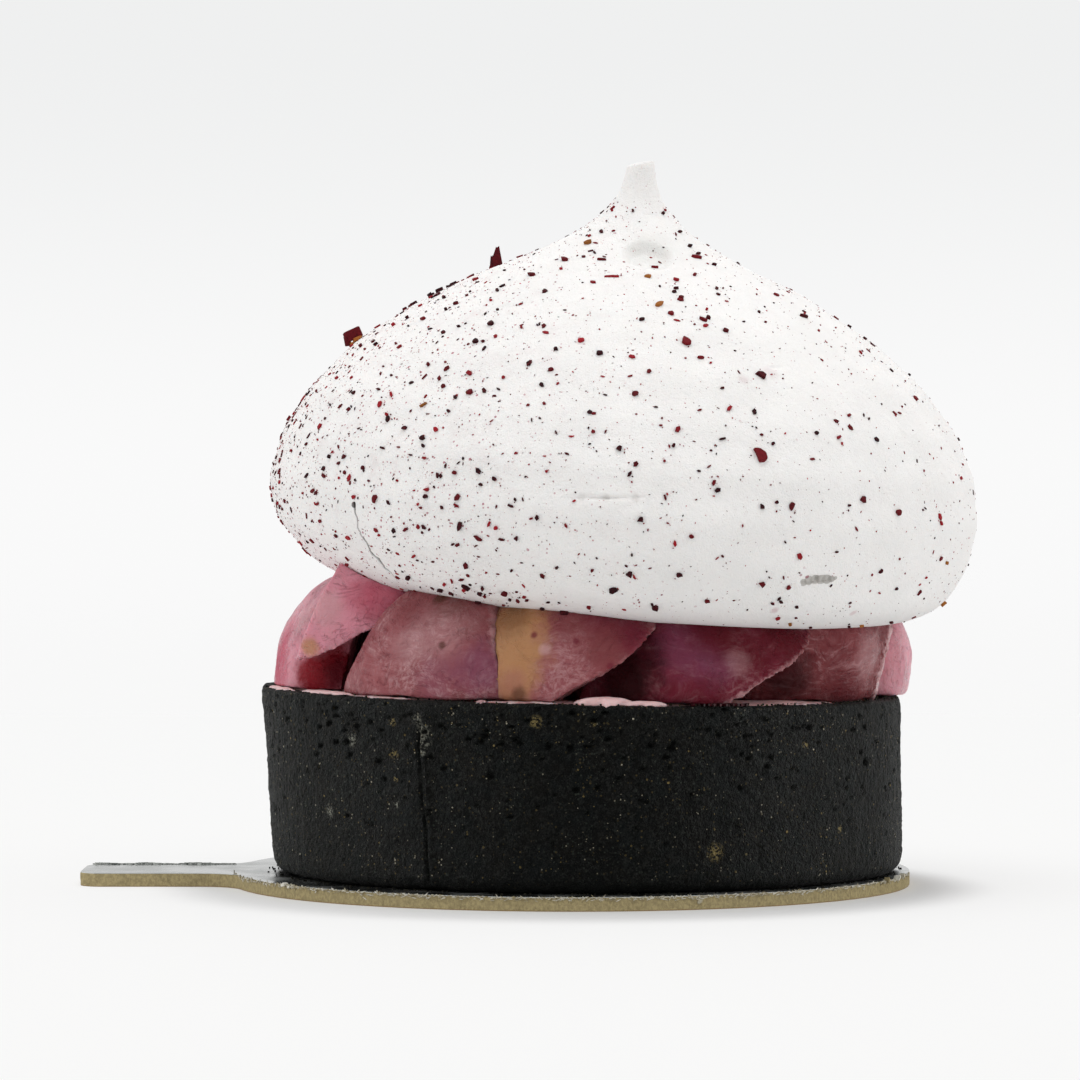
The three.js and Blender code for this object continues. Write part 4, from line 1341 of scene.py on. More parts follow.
# The blots are as on the meringue.
SLICES = [
    {"at": -123, "left": 8.7, "left_slant": 32, "right": 8.6, "right_slant": -16, "yaw": 2,
     "vein": 0.7, "fibre": 0.2, "blush": 0.2, "blots": (
         # The two russet blots at the top are painted shade under the meringue.
         (-18, 33.8, 4.5, "russet", 0.55), (-11.5, 33, 4, "russet", 0.6),
         (-15.5, 29.8, 4.5, "vein", 0.25), (-19.5, 28, 2.6, "vein", 0.25),
         (-10.6, 25.5, 3.6, "painted_violet_sheen", 0.6), (-16, 24.2, 3, "painted_violet_sheen", 0.3),
         # The four darkest blots on the left are painted shade in the gap beside slices 10 and 11.
         (-27, 22.5, 2.7, "painted_gap_shade", 0.95, 0.12), (-26.8, 24.8, 2.1, "painted_gap_shade", 0.95, 0.12),
         (-26.2, 26.8, 1.5, "painted_gap_shade", 0.9, 0.12), (-25.5, 28.4, 0.9, "painted_gap_shade", 0.9, 0.12),
         (-14.3, 32.9, 2.6, "bruise", 0.35), (-15.5, 33.6, 1, "bruise", 0.8),
         (-15.3, 28.1, 0.5, "bruise", 0.7))},
    {"at": -92, "left": 12, "left_slant": 0, "right": -1.2, "right_slant": 53.5, "over": (1,),
     "lower": 0.3, "lower_slant": 60, "vein": 0.55, "fibre": 0.4, "blush": 0.1, "blots": (
         # The russet blot at the top and the two wine blots on the upper right are painted shade under
         # the meringue.
         (0, 31.5, 4, "russet", 0.7), (5.5, 31, 4.4, "wine", 0.85), (4.4, 27.6, 3.4, "russet", 0.8),
         (8, 28.6, 2.6, "wine", 0.8), (-6.8, 31, 4.6, "golden", 0.95),
         (-6.6, 27.5, 4.4, "golden", 1.0), (-6.9, 24, 3.4, "golden", 0.95),
         (-6.9, 31.4, 2.8, "bruise", 0.45), (-7, 23.6, 2, "rose", 0.4),
         (-6.2, 22.2, 1.1, "bruise", 0.7), (-3.1, 27.6, 0.8, "vein", 0.6),
         (-4.4, 29.3, 0.5, "wine", 0.8), (0.6, 28.6, 0.4, "wine", 0.7),
         (4.6, 25.6, 0.5, "wine", 0.7))},
    {"at": -60, "along": 18, "right": -2.45, "right_slant": 65.5, "over": (1, 2), "flesh": "wine",
     "vein": 0.16, "fibre": 0.2, "edge": 0.6, "blush": 0.4, "blots": (
         (13.5, 28, 4.2, "painted_violet_sheen", 0.45), (17, 25.5, 3, "painted_violet_sheen", 0.45),
         (17, 30, 4, "blush", 0.8), (25.4, 29.6, 4, "blush", 0.95), (22, 27.5, 3, "blush", 0.6),
         # The two darkest blots on the left are painted shade under slice 2.
         (19.8, 26, 1.8, "vein", 0.2), (6.4, 24, 4.6, "painted_gap_shade", 0.95), (8.6, 27.2, 3.2, "painted_gap_shade", 0.5),
         (16.5, 22.4, 2.4, "blush", 0.4))},
    {"at": -25, "ring": 25.5, "height": 29, "tall": 12, "right": 12.1, "right_slant": 24.4,
     "right_in": -1.3, "over": (3,), "flesh": "russet",
     "vein": 0.18, "fibre": 0.36, "edge": 0.95, "blush": 0.35, "blots": (
         # The darkest blot, on the left, is painted shade under slice 3.
         (25.6, 24.4, 3.8, "painted_gap_shade", 0.75), (24.4, 27, 3, "blush", 0.6),
         (33, 22.8, 2.6, "blush", 0.5), (35.5, 27, 3, "vein", 0.35))},
    {"at": 12, "ring": 27, "height": 26, "deep": 13, "tall": 12, "right": 8, "over": (4,),
     "flesh": "lilac", "blush": 0.26, "vein": 0.35, "fibre": 0.4, "blots": (
         (37.5, 27.5, 6, "rose", 0.4),)},
    {"at": 48, "over": (5,), "blush": 0.5},
    {"at": 84, "right": 3, "right_slant": 45, "over": (6,), "flesh": "russet"},
    {"at": 118, "ring": 24, "right": 9, "right_slant": 12, "over": (7,), "flesh": "wine"},
    {"at": 153, "right": 8.5, "right_slant": 30, "over": (8,), "vein": 0.5},
    {"at": 187, "deep": 12, "tall": 14.2, "right": 14, "right_slant": -10, "inner": -2.5,
     "over": (1, 9, 11), "flesh": "lilac", "blush": 0.3, "vein": 0.3, "blots": (
         (-34.5, 25.5, 3.8, "cerise", 0.85), (-33.8, 29, 2.8, "cerise", 0.5),
         (-31.5, 31.5, 2.6, "vein", 0.35),
         # Low on the right, the crimson, blush and darkest blots are painted shade under slice 11; the
         # crimson is partly the flesh's own deep red.
         (-30.6, 24.8, 3.6, "crimson", 1.0), (-27.8, 25.6, 3.2, "crimson", 1.0),
         (-27.4, 24.6, 2.4, "blush", 0.9), (-25.4, 26.6, 3, "painted_gap_shade", 1.0),
         (-26, 23.6, 2.6, "painted_gap_shade", 0.9))},
    {"at": -153, "ring": 27.5, "height": 31, "along": 11, "deep": 9.5, "tall": 10, "yaw": -63,
     "left": 5.5, "left_slant": 25, "right": -1.8, "right_slant": 60, "inner": 5, "over": (1,),
     "flesh": "lilac", "blush": 0.15, "vein": 0.25, "fibre": 0.12, "edge": 0.2, "blots": (
         (-21.5, 33.5, 3.8, "cerise", 0.6), (-25, 33.9, 2.4, "cerise", 0.4),
         (-29, 32.4, 2.4, "vein", 0.5), (-31, 27.8, 1.4, "golden", 0.8),
         (-29.6, 26.6, 1.1, "golden", 0.8))},
]


def slice_place(own):
    """Where a slice lies in the ring, and how it is turned."""
    angle = math.radians(own["at"])
    place = Vector((
        TART_X - SHELL_LEAN / 2 + own["ring"] * MM * math.cos(angle),
        own["ring"] * MM * math.sin(angle), own["height"] * MM,
    ))
    turn = angle + math.pi / 2 - math.radians(own["yaw"])
    return Matrix.Translation(place) @ Matrix.Rotation(turn, 4, "Z")


def cut_directions(own):
    """The knife cuts as (outward direction, distance in millimetres) in the slice's own frame."""
    def slanted(degrees, lengthwise, inward):
        slant = math.radians(degrees)
        direction = (lengthwise * math.cos(slant), inward, -lengthwise * math.sin(slant))
        return Vector(direction).normalized()

    return [
        (slanted(own["right_slant"], 1, own["right_in"]), own["right"]),
        (slanted(own["left_slant"], -1, 0.1), own["left"]),
        (slanted(own["lower_slant"], 1, 0), own["lower"]),
        (Vector((0, 1, -0.2)).normalized(), own["inner"]),
    ]


def slice_blank(name, own, grow=0.0):
    """A slice as the knife left it, larger or smaller all round by some millimetres."""
    bpy.ops.mesh.primitive_uv_sphere_add(
        segments=56, ring_count=28, radius=1,
        scale=[(own[k] + grow) * MM for k in ("along", "deep", "tall")],
    )
    obj = newest(name)
    settle(obj)
    for direction, distance in cut_directions(own):
        cut_away(obj, direction * (distance + grow) * MM, direction)
    move_mesh(obj, slice_place(own))
    return obj


def largest_part(obj):
    """Drops all but the largest loose part."""
    with editing(obj):
        bpy.ops.mesh.separate(type="LOOSE")
    parts = [o for o in bpy.context.selected_objects if o.type == "MESH"]
    parts.sort(key=lambda part: len(part.data.vertices))
    kept = parts.pop()
    for part in parts:
        bpy.data.objects.remove(part)
    return kept


def fruit_material(obj, number, own, colours):
    """Wet flesh in a slice's own colours, with its blots, some of which are painted shade."""
    material, shader, bsdf = new_material(f"Poached fruit {number:02d}")
    place = shader.millimetres()
    # The Mapping node takes the object's millimetres into the slice's own frame.
    inverse = slice_place(own).inverted()
    mapped = shader.add("ShaderNodeMapping", {"Vector": place}).outputs[0]
    set_inputs(mapped.node, {
        "Location": inverse.translation / MM, "Rotation": inverse.to_euler(),
    })
    direction, distance = cut_directions(own)[0]
    flesh = group_node(shader, "Fruit flesh", mapped, {
        "Flesh": rgba(getattr(colours, own["flesh"])), "Blush": rgba(colours.blush),
        "Vein": rgba(colours.vein), "Blush amount": own["blush"], "Vein amount": own["vein"],
        "Fibre amount": own["fibre"], "Edge direction": direction, "Edge place": distance,
        "Edge amount": own["edge"],
    })
    base = blotted(shader, flesh["Colour"], place, obj, own["blots"], colours)
    rough = shader.plus(0.16, shader.times(flesh["Roughness"], 0.34))
    # The pale flesh is wet and shines; the dark places, painted shade between the slices among them, do
    # not.
    paleness = shader.add("ShaderNodeSeparateColor", {0: base}).outputs[1]
    wet = shader.times(shader.minus(paleness, 0.01), 1.1, clamp=True)
    link_to(
        shader, bsdf, Base_Color=base, Roughness=rough, Coat_Weight=wet,
        Normal=bump(shader, flesh["Height"], 0.35 * MM, 0.7),
    )
    set_inputs(bsdf, {
        "Subsurface Weight": 0.35, "Subsurface Scale": 1.6 * MM,
        "Subsurface Radius": (1.0, 0.35, 0.3), "Coat Roughness": 0.1, "Specular IOR Level": 0.06,
    })
    return material


class TART_OT_fruit(bpy.types.Operator):
    """Build the ring of poached fruit slices, each lying on the next"""

    bl_idname = "tart.fruit"
    bl_label = "Fruit slices"

    def execute(self, context):
        scene = context.scene
        dome = dome_blank("dome_cutter", 3, 64)
        # The flesh reaches a little into the meringue, and the slices into each other.
        move_mesh(dome, Matrix.Translation((0, 0, PRESSED)) @ DOME_PLACE)
        slices = [{**SLICE, **own} for own in SLICES]
        for number, own in enumerate(slices, start=1):
            obj = slice_blank(f"poached_slice_{number:02d}", own)
            cut_away(obj, (TART_X, 0, SHELL_FOOT_Z + CREAM_TOP), (-RIM_SLOPE, 0, -1))
            cut_with(obj, dome, keep_cutter=True)
            for under in own["over"]:
                cut_with(obj, slice_blank("neighbour", slices[under - 1], -PRESSED_TOGETHER))
            obj = largest_part(obj)
            obj.name = f"poached_slice_{number:02d}"
            self.soften(obj, own, scene.tart_sizes.fruit_swell)
            piece(
                obj, "fruit", fruit_material(obj, number, own, scene.tart_colours),
                replaces=[f"fruit_slice_{number:02d}"],
            )
        bpy.data.objects.remove(dome)
        return {"FINISHED"}

    @staticmethod
    def soften(obj, own, swell):
        """Turns the knife-cut solid into soft flesh with a torn edge on its right."""
        finish_with(obj, "REMESH", mode="VOXEL", voxel_size=FLESH_GRID, adaptivity=0.0)
        finish_with(obj, "SMOOTH", factor=0.5, iterations=3)
        inverse = slice_place(own).inverted()
        points = points_of(obj) @ np.array(inverse.to_3x3()).T + np.array(inverse.translation)
        direction, distance = cut_directions(own)[0]
        from_edge = distance * MM - points @ np.array(direction)
        torn = weight(obj, "torn", 1 - smoothstep(from_edge, 0.1 * MM, 1.6 * MM))
        roughen(obj, 7 * MM, swell, depth=1)
        roughen(obj, 1.8 * MM, swell * 0.18, depth=2)
        roughen(obj, 0.8 * MM, 0.32 * MM, depth=2, group=torn)
        shade_smooth(obj, 70)


# ---- Flakes ------------------------------------------------------------------------------------------

# The flakes that stand out from the shown side, as (across, up, long, wide, turn): the first two
# as seen, all lengths in millimetres and the turn in degrees from level.
SEEN_FLAKES = {
    "dark": [
        (8.3, 66.6, 0.9, 0.5, 15), (15, 74.4, 0.8, 0.4, 0), (14, 75.3, 0.8, 0.5, 0),
        (12.8, 77, 0.7, 0.4, -10), (-0.6, 76.8, 0.7, 0.6, 0), (2.1, 78.5, 0.5, 0.3, 35),
        (16.2, 66.8, 0.6, 0.6, 0), (16.9, 73.1, 0.8, 0.3, -20), (12.4, 70.3, 0.6, 0.4, 0),
        (10.8, 82, 0.3, 0.6, 90), (10.8, 79.2, 0.5, 0.4, 0), (7.3, 79.5, 0.4, 0.4, 0),
        (-23.1, 63.7, 0.8, 0.3, 40), (-19.4, 66.8, 0.6, 0.5, 0), (-16.5, 69.9, 1, 0.4, 30),
        (-15, 69.2, 0.8, 0.3, 10), (-14.8, 67.8, 0.5, 0.5, 0), (-14.1, 71.1, 1.4, 0.7, 25),
        (-13.3, 65.8, 0.6, 0.3, 0), (-19.7, 53.8, 0.9, 0.5, 10), (-17.6, 52.6, 0.8, 0.7, 60),
        (-17.5, 51.7, 0.5, 0.5, 0), (-14.5, 55.8, 0.6, 0.4, 0), (-24.6, 49.1, 0.6, 0.5, -50),
        (-28.6, 50.4, 0.5, 0.5, 0), (-15.8, 48.2, 0.6, 0.4, 90), (-9.1, 47.8, 0.7, 0.5, -60),
        (-10.7, 47.1, 0.5, 0.5, 60), (-21.6, 45, 0.6, 0.3, -60), (-17.2, 45.7, 0.7, 0.5, 30),
        (-15.3, 44.4, 0.6, 0.3, -60), (-13.2, 42.2, 1, 0.7, 65), (-6.5, 40.8, 0.6, 0.6, 0),
        (-14, 40.1, 0.4, 0.3, 0), (-19.3, 36.2, 0.7, 0.7, 0), (-12.4, 35, 1.3, 0.6, -50),
        (-10.5, 34.9, 1, 0.4, 80), (-10.8, 34.3, 0.7, 0.6, 0), (-15.5, 34.7, 1, 0.5, -15),
        (-14.2, 34.3, 0.8, 0.4, -70), (-11.1, 33.3, 1, 0.5, -20), (-22, 34.8, 1.2, 0.6, -20),
        (-24.3, 36, 0.7, 0.7, 40), (22.6, 44.5, 0.8, 0.5, -70), (24.3, 45, 0.5, 0.4, 0),
        (36.6, 36.9, 0.6, 0.4, 35), (24.8, 33.3, 0.6, 0.4, 0), (23.8, 33.1, 0.6, 0.3, -10),
        (26.7, 32.7, 0.5, 0.3, 15), (37.9, 30.9, 1, 0.3, 5), (32.9, 30.4, 0.6, 0.3, 10),
        (22.5, 60, 1.5, 0.9, -30), (27.5, 67, 1.3, 0.6, -20), (-9.5, 66.1, 1, 0.7, 10),
        (-11.3, 64, 0.9, 0.7, 20), (3.3, 62.6, 1, 0.8, 0), (5.7, 51.4, 0.8, 0.7, 0),
        (6.9, 36.6, 0.9, 0.8, 0), (5, 34.7, 1.2, 1, 20), (10, 32.6, 0.9, 0.8, 0),
        (12.8, 36.5, 0.8, 0.7, 0), (-0.9, 32.1, 1.4, 1.2, -20), (0.5, 31.2, 1, 0.7, -20),
        (8.2, 43, 0.9, 0.7, 20), (-1.8, 63.1, 0.6, 0.5, 30), (33, 66, 0.7, 0.5, -30),
        (40.1, 60.2, 0.5, 0.3, -60), (29, 53.2, 0.6, 0.5, 0), (12.1, 51.7, 0.6, 0.5, 60),
    ],
    "burgundy": [
        (11.8, 67.3, 0.9, 0.6, -30), (14.7, 74, 1.7, 0.6, -18), (3.5, 73.7, 1.5, 0.3, -8),
        (-0.8, 73.7, 1, 0.8, -40), (13, 69.2, 0.7, 0.6, 20), (15.6, 66.6, 0.9, 0.6, -50),
        (9.9, 72.8, 0.8, 0.3, -10), (-24.9, 63.5, 0.9, 0.5, -20), (-17.5, 66.7, 1, 0.5, 10),
        (-19.3, 68.6, 0.8, 0.5, 30), (-13.6, 68.5, 0.8, 0.5, 30), (-33.4, 54.9, 0.9, 0.6, 90),
        (-26.3, 56, 0.7, 0.4, 60), (-15.1, 58.7, 0.7, 0.5, 40), (-15.6, 59.6, 0.7, 0.5, 80),
        (-16.9, 61.3, 0.5, 0.5, 90), (-13.8, 48.5, 0.7, 0.5, 0), (-12, 58, 1, 0.8, 60),
        (-23.2, 45.5, 1.2, 0.6, 70), (-17.8, 44.4, 0.5, 0.3, -10), (-11, 40.8, 1, 0.5, -40),
        (-7.9, 34.3, 1, 0.7, -10), (26.1, 44.6, 1.2, 0.6, 75), (34.5, 45.4, 0.9, 0.9, 0),
        (38.7, 43.8, 0.9, 0.8, 90), (22.6, 35.4, 0.9, 0.7, -20), (25.7, 35, 0.7, 0.5, 90),
        (41.2, 34.4, 0.9, 0.3, 70), (22.4, 50.5, 2.3, 1.3, -62), (13.6, 64, 1.6, 1.2, -40),
        (-4.7, 71.9, 0.9, 0.7, -20), (18.2, 65.3, 0.9, 0.7, -40), (7.5, 57.8, 1, 0.8, 10),
        (16.1, 33.4, 0.7, 0.6, 0), (14.2, 41, 0.7, 0.6, 0), (2.1, 32.7, 0.6, 0.5, 0),
        (-2.4, 60.7, 0.7, 0.6, 10), (15.3, 62.1, 0.9, 0.5, -10),
    ],
    "red": [
        (12.4, 71.3, 0.9, 0.5, -20), (-21, 66, 0.6, 0.5, 90), (-21.8, 55.4, 0.5, 0.5, 0),
        (-16, 53.6, 0.7, 0.7, 0), (-17.1, 46.5, 0.6, 0.5, 0), (-8.9, 42, 0.6, 0.6, 90),
        (-15, 35.4, 0.5, 0.5, 90), (1.1, 64.1, 1, 0.7, 20), (4.9, 71.7, 2.1, 0.2, -2),
        (5.9, 71.85, 0.35, 0.18, 80), (-1.2, 72.6, 0.5, 0.3, 0), (16, 67.8, 0.4, 0.4, 0),
    ],
    "ochre": [
        (2, 75.7, 1.2, 0.8, 60), (-25.3, 64.7, 1.4, 0.6, 15), (10.4, 68.4, 1.4, 0.8, 35),
        (9.1, 71.7, 1, 0.6, -10), (1.1, 77.8, 0.7, 0.3, 45), (-17.5, 56.5, 1.3, 0.3, 35),
        (44, 33.1, 1, 0.7, 90), (34.4, 30.5, 0.6, 0.3, 5), (25.9, 30.7, 0.6, 0.5, 10),
        (44.4, 37.9, 0.6, 0.5, -60),
    ],
}
# Flakes that stand off the meringue: (across, up, tilt in the picture, long, deep, tall, tone,
# lift), the first two as seen.
STANDING_FLAKES = [
    (-26.9, 65.4, 26, 3.0, 1.0, 1.35, 0.3, 0.85), (-27.8, 64.9, 12, 1.1, 0.9, 1.2, 0.22, 0.8),
    (-16.2, 71.1, 24, 1.3, 0.8, 0.5, 0.02, 0.5), (-17.3, 70.7, 35, 0.8, 0.6, 0.45, 0.02, 0.5),
    (-15.1, 71.7, 8, 0.9, 0.5, 0.3, 0.04, 0.5), (-19.2, 69.6, 28, 1.2, 0.6, 0.4, 0.06, 0.5),
    (-20.3, 68.9, 20, 0.7, 0.5, 0.4, 0.15, 0.5),
]
# A pale fringe on the largest flake, and thorns that stand up, written likewise.
FRINGE = [(-25.9, 65.0, 20, 1.5, 1.3, 0.55, 0.9, 0.5), (-26.6, 64.5, 14, 0.8, 1.3, 0.4, 0.7, 0.6)]
THORNS = [(-9.5, 74.6, -4, 1.9, 0.8, 2.6, 0.2, 0.4), (-9.7, 74.5, 14, 1.5, 0.7, 1.6, 0.1, 0.35)]
# Loose bits as (least length, spread of their lengths, greatest thickness) in millimetres.
SMALL_FLAKES, DUST_SPECKS = (0.25, 0.8, 0.3), (0.11, 0.16, 0.1)
FLAKES_UP_TO = 47 * MM  # how high on the dome the loose bits lie
# The range of tones of each kind, from 0 for the darkest to 1 for the brightest of its material.
FLAKE_TONES = {"dark": (0.0, 0.12), "burgundy": (0.2, 0.45), "red": (0.75, 1.0), "ochre": (0.3, 1.0)}


def chip_templates(count, sides, bevel, seed, taper=1.0):
    """Broken bits of unit size with straight sides, modelled once and copied."""
    rng = random.Random(seed)
    made = []
    for _ in range(count):
        bpy.ops.mesh.primitive_cylinder_add(vertices=sides, radius=0.5, depth=1)
        chip = newest("chip")
        points = points_of(chip)
        reach = [rng.uniform(0.65, 1.15) for _ in range(sides)]
        turns = np.arctan2(points[:, 1], points[:, 0])
        corner = np.round(turns / (2 * math.pi) * sides).astype(int) % sides
        points[:, :2] *= np.array(reach)[corner][:, None]
        points[points[:, 2] > 0, :2] *= taper
        for point in points:
            point *= rng.uniform(0.8, 1.1)
        points[:, 0] += 0.25 * points[:, 1] * rng.uniform(-1, 1)
        points[:, 2] += 0.5 * points[:, 0] ** 2 * rng.uniform(-1, 1)
        set_points(chip, points)
        if bevel:
            finish_with(chip, "BEVEL", width=bevel, segments=1, limit_method="NONE")
        finish_with(chip, "TRIANGULATE")
        faces = [tuple(polygon.vertices) for polygon in chip.data.polygons]
        made.append((points_of(chip), np.array(faces)))
        bpy.data.objects.remove(chip)
    return made


class ChipHeap:
    """Gathers copies of chips into one mesh, with a tone for each copy."""

    def __init__(self, templates, seed):
        self.templates = templates
        self.rng = random.Random(seed)
        self.points, self.faces, self.tones = [], [], []
        self.count = 0

    def add(self, place, normal, turn, long, wide, thick, tone, sink=0.2):
        points, faces = self.rng.choice(self.templates)
        axes = np.array(surface_axes(normal, turn))
        scaled = points * np.array((long, wide, thick)) * MM + np.array((0, 0, thick * sink * MM))
        self.points.append(scaled @ axes.T + np.array(place))
        self.faces.append(faces + self.count)
        self.count += len(points)
        self.tones.append(np.full(len(points), tone))

    def build(self, name):
        mesh = bpy.data.meshes.new(name)
        points = np.concatenate(self.points)
        mesh.from_pydata(points.tolist(), [], np.concatenate(self.faces).tolist())
        note(mesh, "tone", np.concatenate(self.tones))
        return new_object(name, mesh)


def dome_spot(dome, rng):
    """A random place on the dome, by how thickly the flakes lie there. None if it is thinned out."""
    angle = rng.uniform(-math.pi, math.pi)
    height = FLAKES_UP_TO * rng.random() ** 0.85
    # Most lie on the left, many low down, and to the right the upper part holds more.
    leftness = 0.5 - 0.5 * math.cos(angle)
    low = 1 - smoothstep(height, 1 * MM, 9 * MM)
    high = smoothstep(height, 22 * MM, 36 * MM)
    density = 0.14 + 0.75 * leftness**1.4 + 0.25 * high * (1 - leftness) + 0.2 * low
    radius = np.interp(height, [h for _, h in DOME_OUTLINE], [r for r, _ in DOME_OUTLINE])
    if rng.random() > density * max(radius / (41 * MM), 0.12):
        return None
    start = DOME_PLACE @ Vector((0, 0, height))
    out = DOME_PLACE.to_3x3() @ Vector((math.cos(angle), math.sin(angle), 0.0))
    hit, place, normal, _ = dome.ray_cast(start + out * 70 * MM, -out)
    return (place, normal) if hit else None


class TART_OT_flakes(bpy.types.Operator):
    """Scatter dried-fruit flakes and dust over the meringue"""

    bl_idname = "tart.flakes"
    bl_label = "Flakes"

    def execute(self, context):
        scene = context.scene
        scatter, colours = scene.tart_scatter, scene.tart_colours
        dome = bpy.data.objects["meringue_dome"]
        context.view_layer.update()
        rng = random.Random(scatter.seed + 1)
        large = chip_templates(8, 7, 0.07, scatter.seed + 2)
        small = chip_templates(8, 5, 0, scatter.seed + 3)
        fine = chip_templates(6, 4, 0, scatter.seed + 4)
        heaps = {
            "flakes_burgundy": ChipHeap(large, 1), "flakes_ochre": ChipHeap(large, 2),
            "flakes_small": ChipHeap(small, 3), "flakes_dust": ChipHeap(fine, 4),
        }
        for kind, flakes in SEEN_FLAKES.items():
            heap = heaps["flakes_ochre" if kind == "ochre" else "flakes_burgundy"]
            for across, up, long, wide, turn in flakes:
                place, normal = seen_point(dome, across, up)
                thick = 0.35 + 0.25 * wide
                heap.add(place, normal, turn, long, wide, thick, rng.uniform(*FLAKE_TONES[kind]))
        thorns = ChipHeap(chip_templates(3, 5, 0, scatter.seed + 5, taper=0.2), 5)
        for heap, standing in (
            (heaps["flakes_burgundy"], STANDING_FLAKES), (heaps["flakes_ochre"], FRINGE),
            (thorns, THORNS),
        ):
            for across, up, tilt, long, deep, tall, tone, lift in standing:
                place, _ = seen_point(dome, across, up)
                lean = math.radians(tilt)
                upright = Vector((-math.sin(lean), 0, math.cos(lean)))
                heap.add(place, upright, 90, long, deep, tall, tone, lift)
        heaps["flakes_thorns"] = thorns
        self.scatter(dome, rng, heaps["flakes_small"], scatter.flakes, *SMALL_FLAKES)
        self.scatter(dome, rng, heaps["flakes_dust"], scatter.dust, *DUST_SPECKS)

        burgundy = flake_material("Burgundy flakes", colours.dark_flake, colours.red_flake)
        seeds = colours.ochre_flake
        ochre = flake_material("Ochre flakes", shade(seeds, 0.25), seeds)
        dust = flake_material("Fruit dust", colours.dust_dark, colours.dust_bright)
        for name, heap in heaps.items():
            obj = heap.build(name)
            material = {"flakes_ochre": ochre, "flakes_dust": dust}.get(name, burgundy)
            piece(obj, "flakes", material)
        return {"FINISHED"}

    @staticmethod
    def scatter(dome, rng, heap, count, least, spread, thick):
        """Lays a number of bits on the dome, most of them hardly longer than the least."""
        while count:
            spot = dome_spot(dome, rng)
            if not spot:
                continue
            long = least + spread * rng.random() ** 3
            wide = long * rng.uniform(0.3, 0.8)
            tone = rng.random() ** 1.6
            heap.add(*spot, rng.uniform(0, 180), long, wide, min(thick, 0.6 * wide), tone)
            count -= 1


# ---- Crumbs and fibres -------------------------------------------------------------------------------

# Places of the small bits: angles in degrees round the tart, counted from the right.
WET_CRUMBS = (-72, -58)
LOOSE_FIBRES = (-172, -8)
# How long they are, from the least to the most, in millimetres.
WET_LONG, RIM_LONG, CARD_LONG = (0.3, 1.5), (0.15, 0.45), (0.12, 0.5)
FIBRE_LONG, BURR_LONG = (0.25, 0.9), (0.3, 1.3)
FIBRE_DROP = 0.18 * MM  # how far most fibres hang down from the card's upper edge
# The torn back edge of the tab, in millimetres: its stretch along X and its place along Y.
TAB_BURR = (-57.0, -40.5)
TAB_BACK = 6.65
# Tufts on the card's edge as (across, drop, long, wide, thick, tone), the first as seen.
CARD_BITS = [
    (-33.9, 0.0, 1.0, 0.5, 0.6, 1.0), (-33.4, 0.2, 0.7, 0.3, 0.4, 1.0),
    (15.2, 0.7, 0.9, 0.6, 0.3, 0.3), (38.6, 0.0, 1.4, 0.5, 0.7, 0.9),
    (39.2, -0.2, 0.8, 0.5, 0.6, 0.5), (37.4, 0.0, 0.8, 0.7, 0.6, 0.0),
]


def outwards(degrees):
    """The level direction away from the tart's middle, at an angle counted from the right."""
    angle = math.radians(degrees)
    return Vector((math.cos(angle), math.sin(angle), 0))


def on_rim(sizes, degrees, inside):
    """A place on the rim, some way inside its outer edge."""
    flat = outwards(degrees) * (sizes.shell_radius - 0.3 * MM - inside)
    place = lean_with_shell(np.array([[flat.x, flat.y, SHELL_HEIGHT]]), SHELL_HEIGHT)[0]
    return Vector(place)


def by_the_foot(degrees, outside):
    """A place on the card, some way outside the shell's foot."""
    foot = 37.1 * MM
    return Vector((TART_X, 0, CARD_HIGH.z)) + outwards(degrees) * (foot + outside)


def on_card_edge(degrees, drop):
    """A place on the card's outer edge, some way below its face, and the direction outwards."""
    out = outwards(degrees)
    return Vector((0, 0, CARD_HIGH.z - drop)) + out * CARD_HIGH.x, out


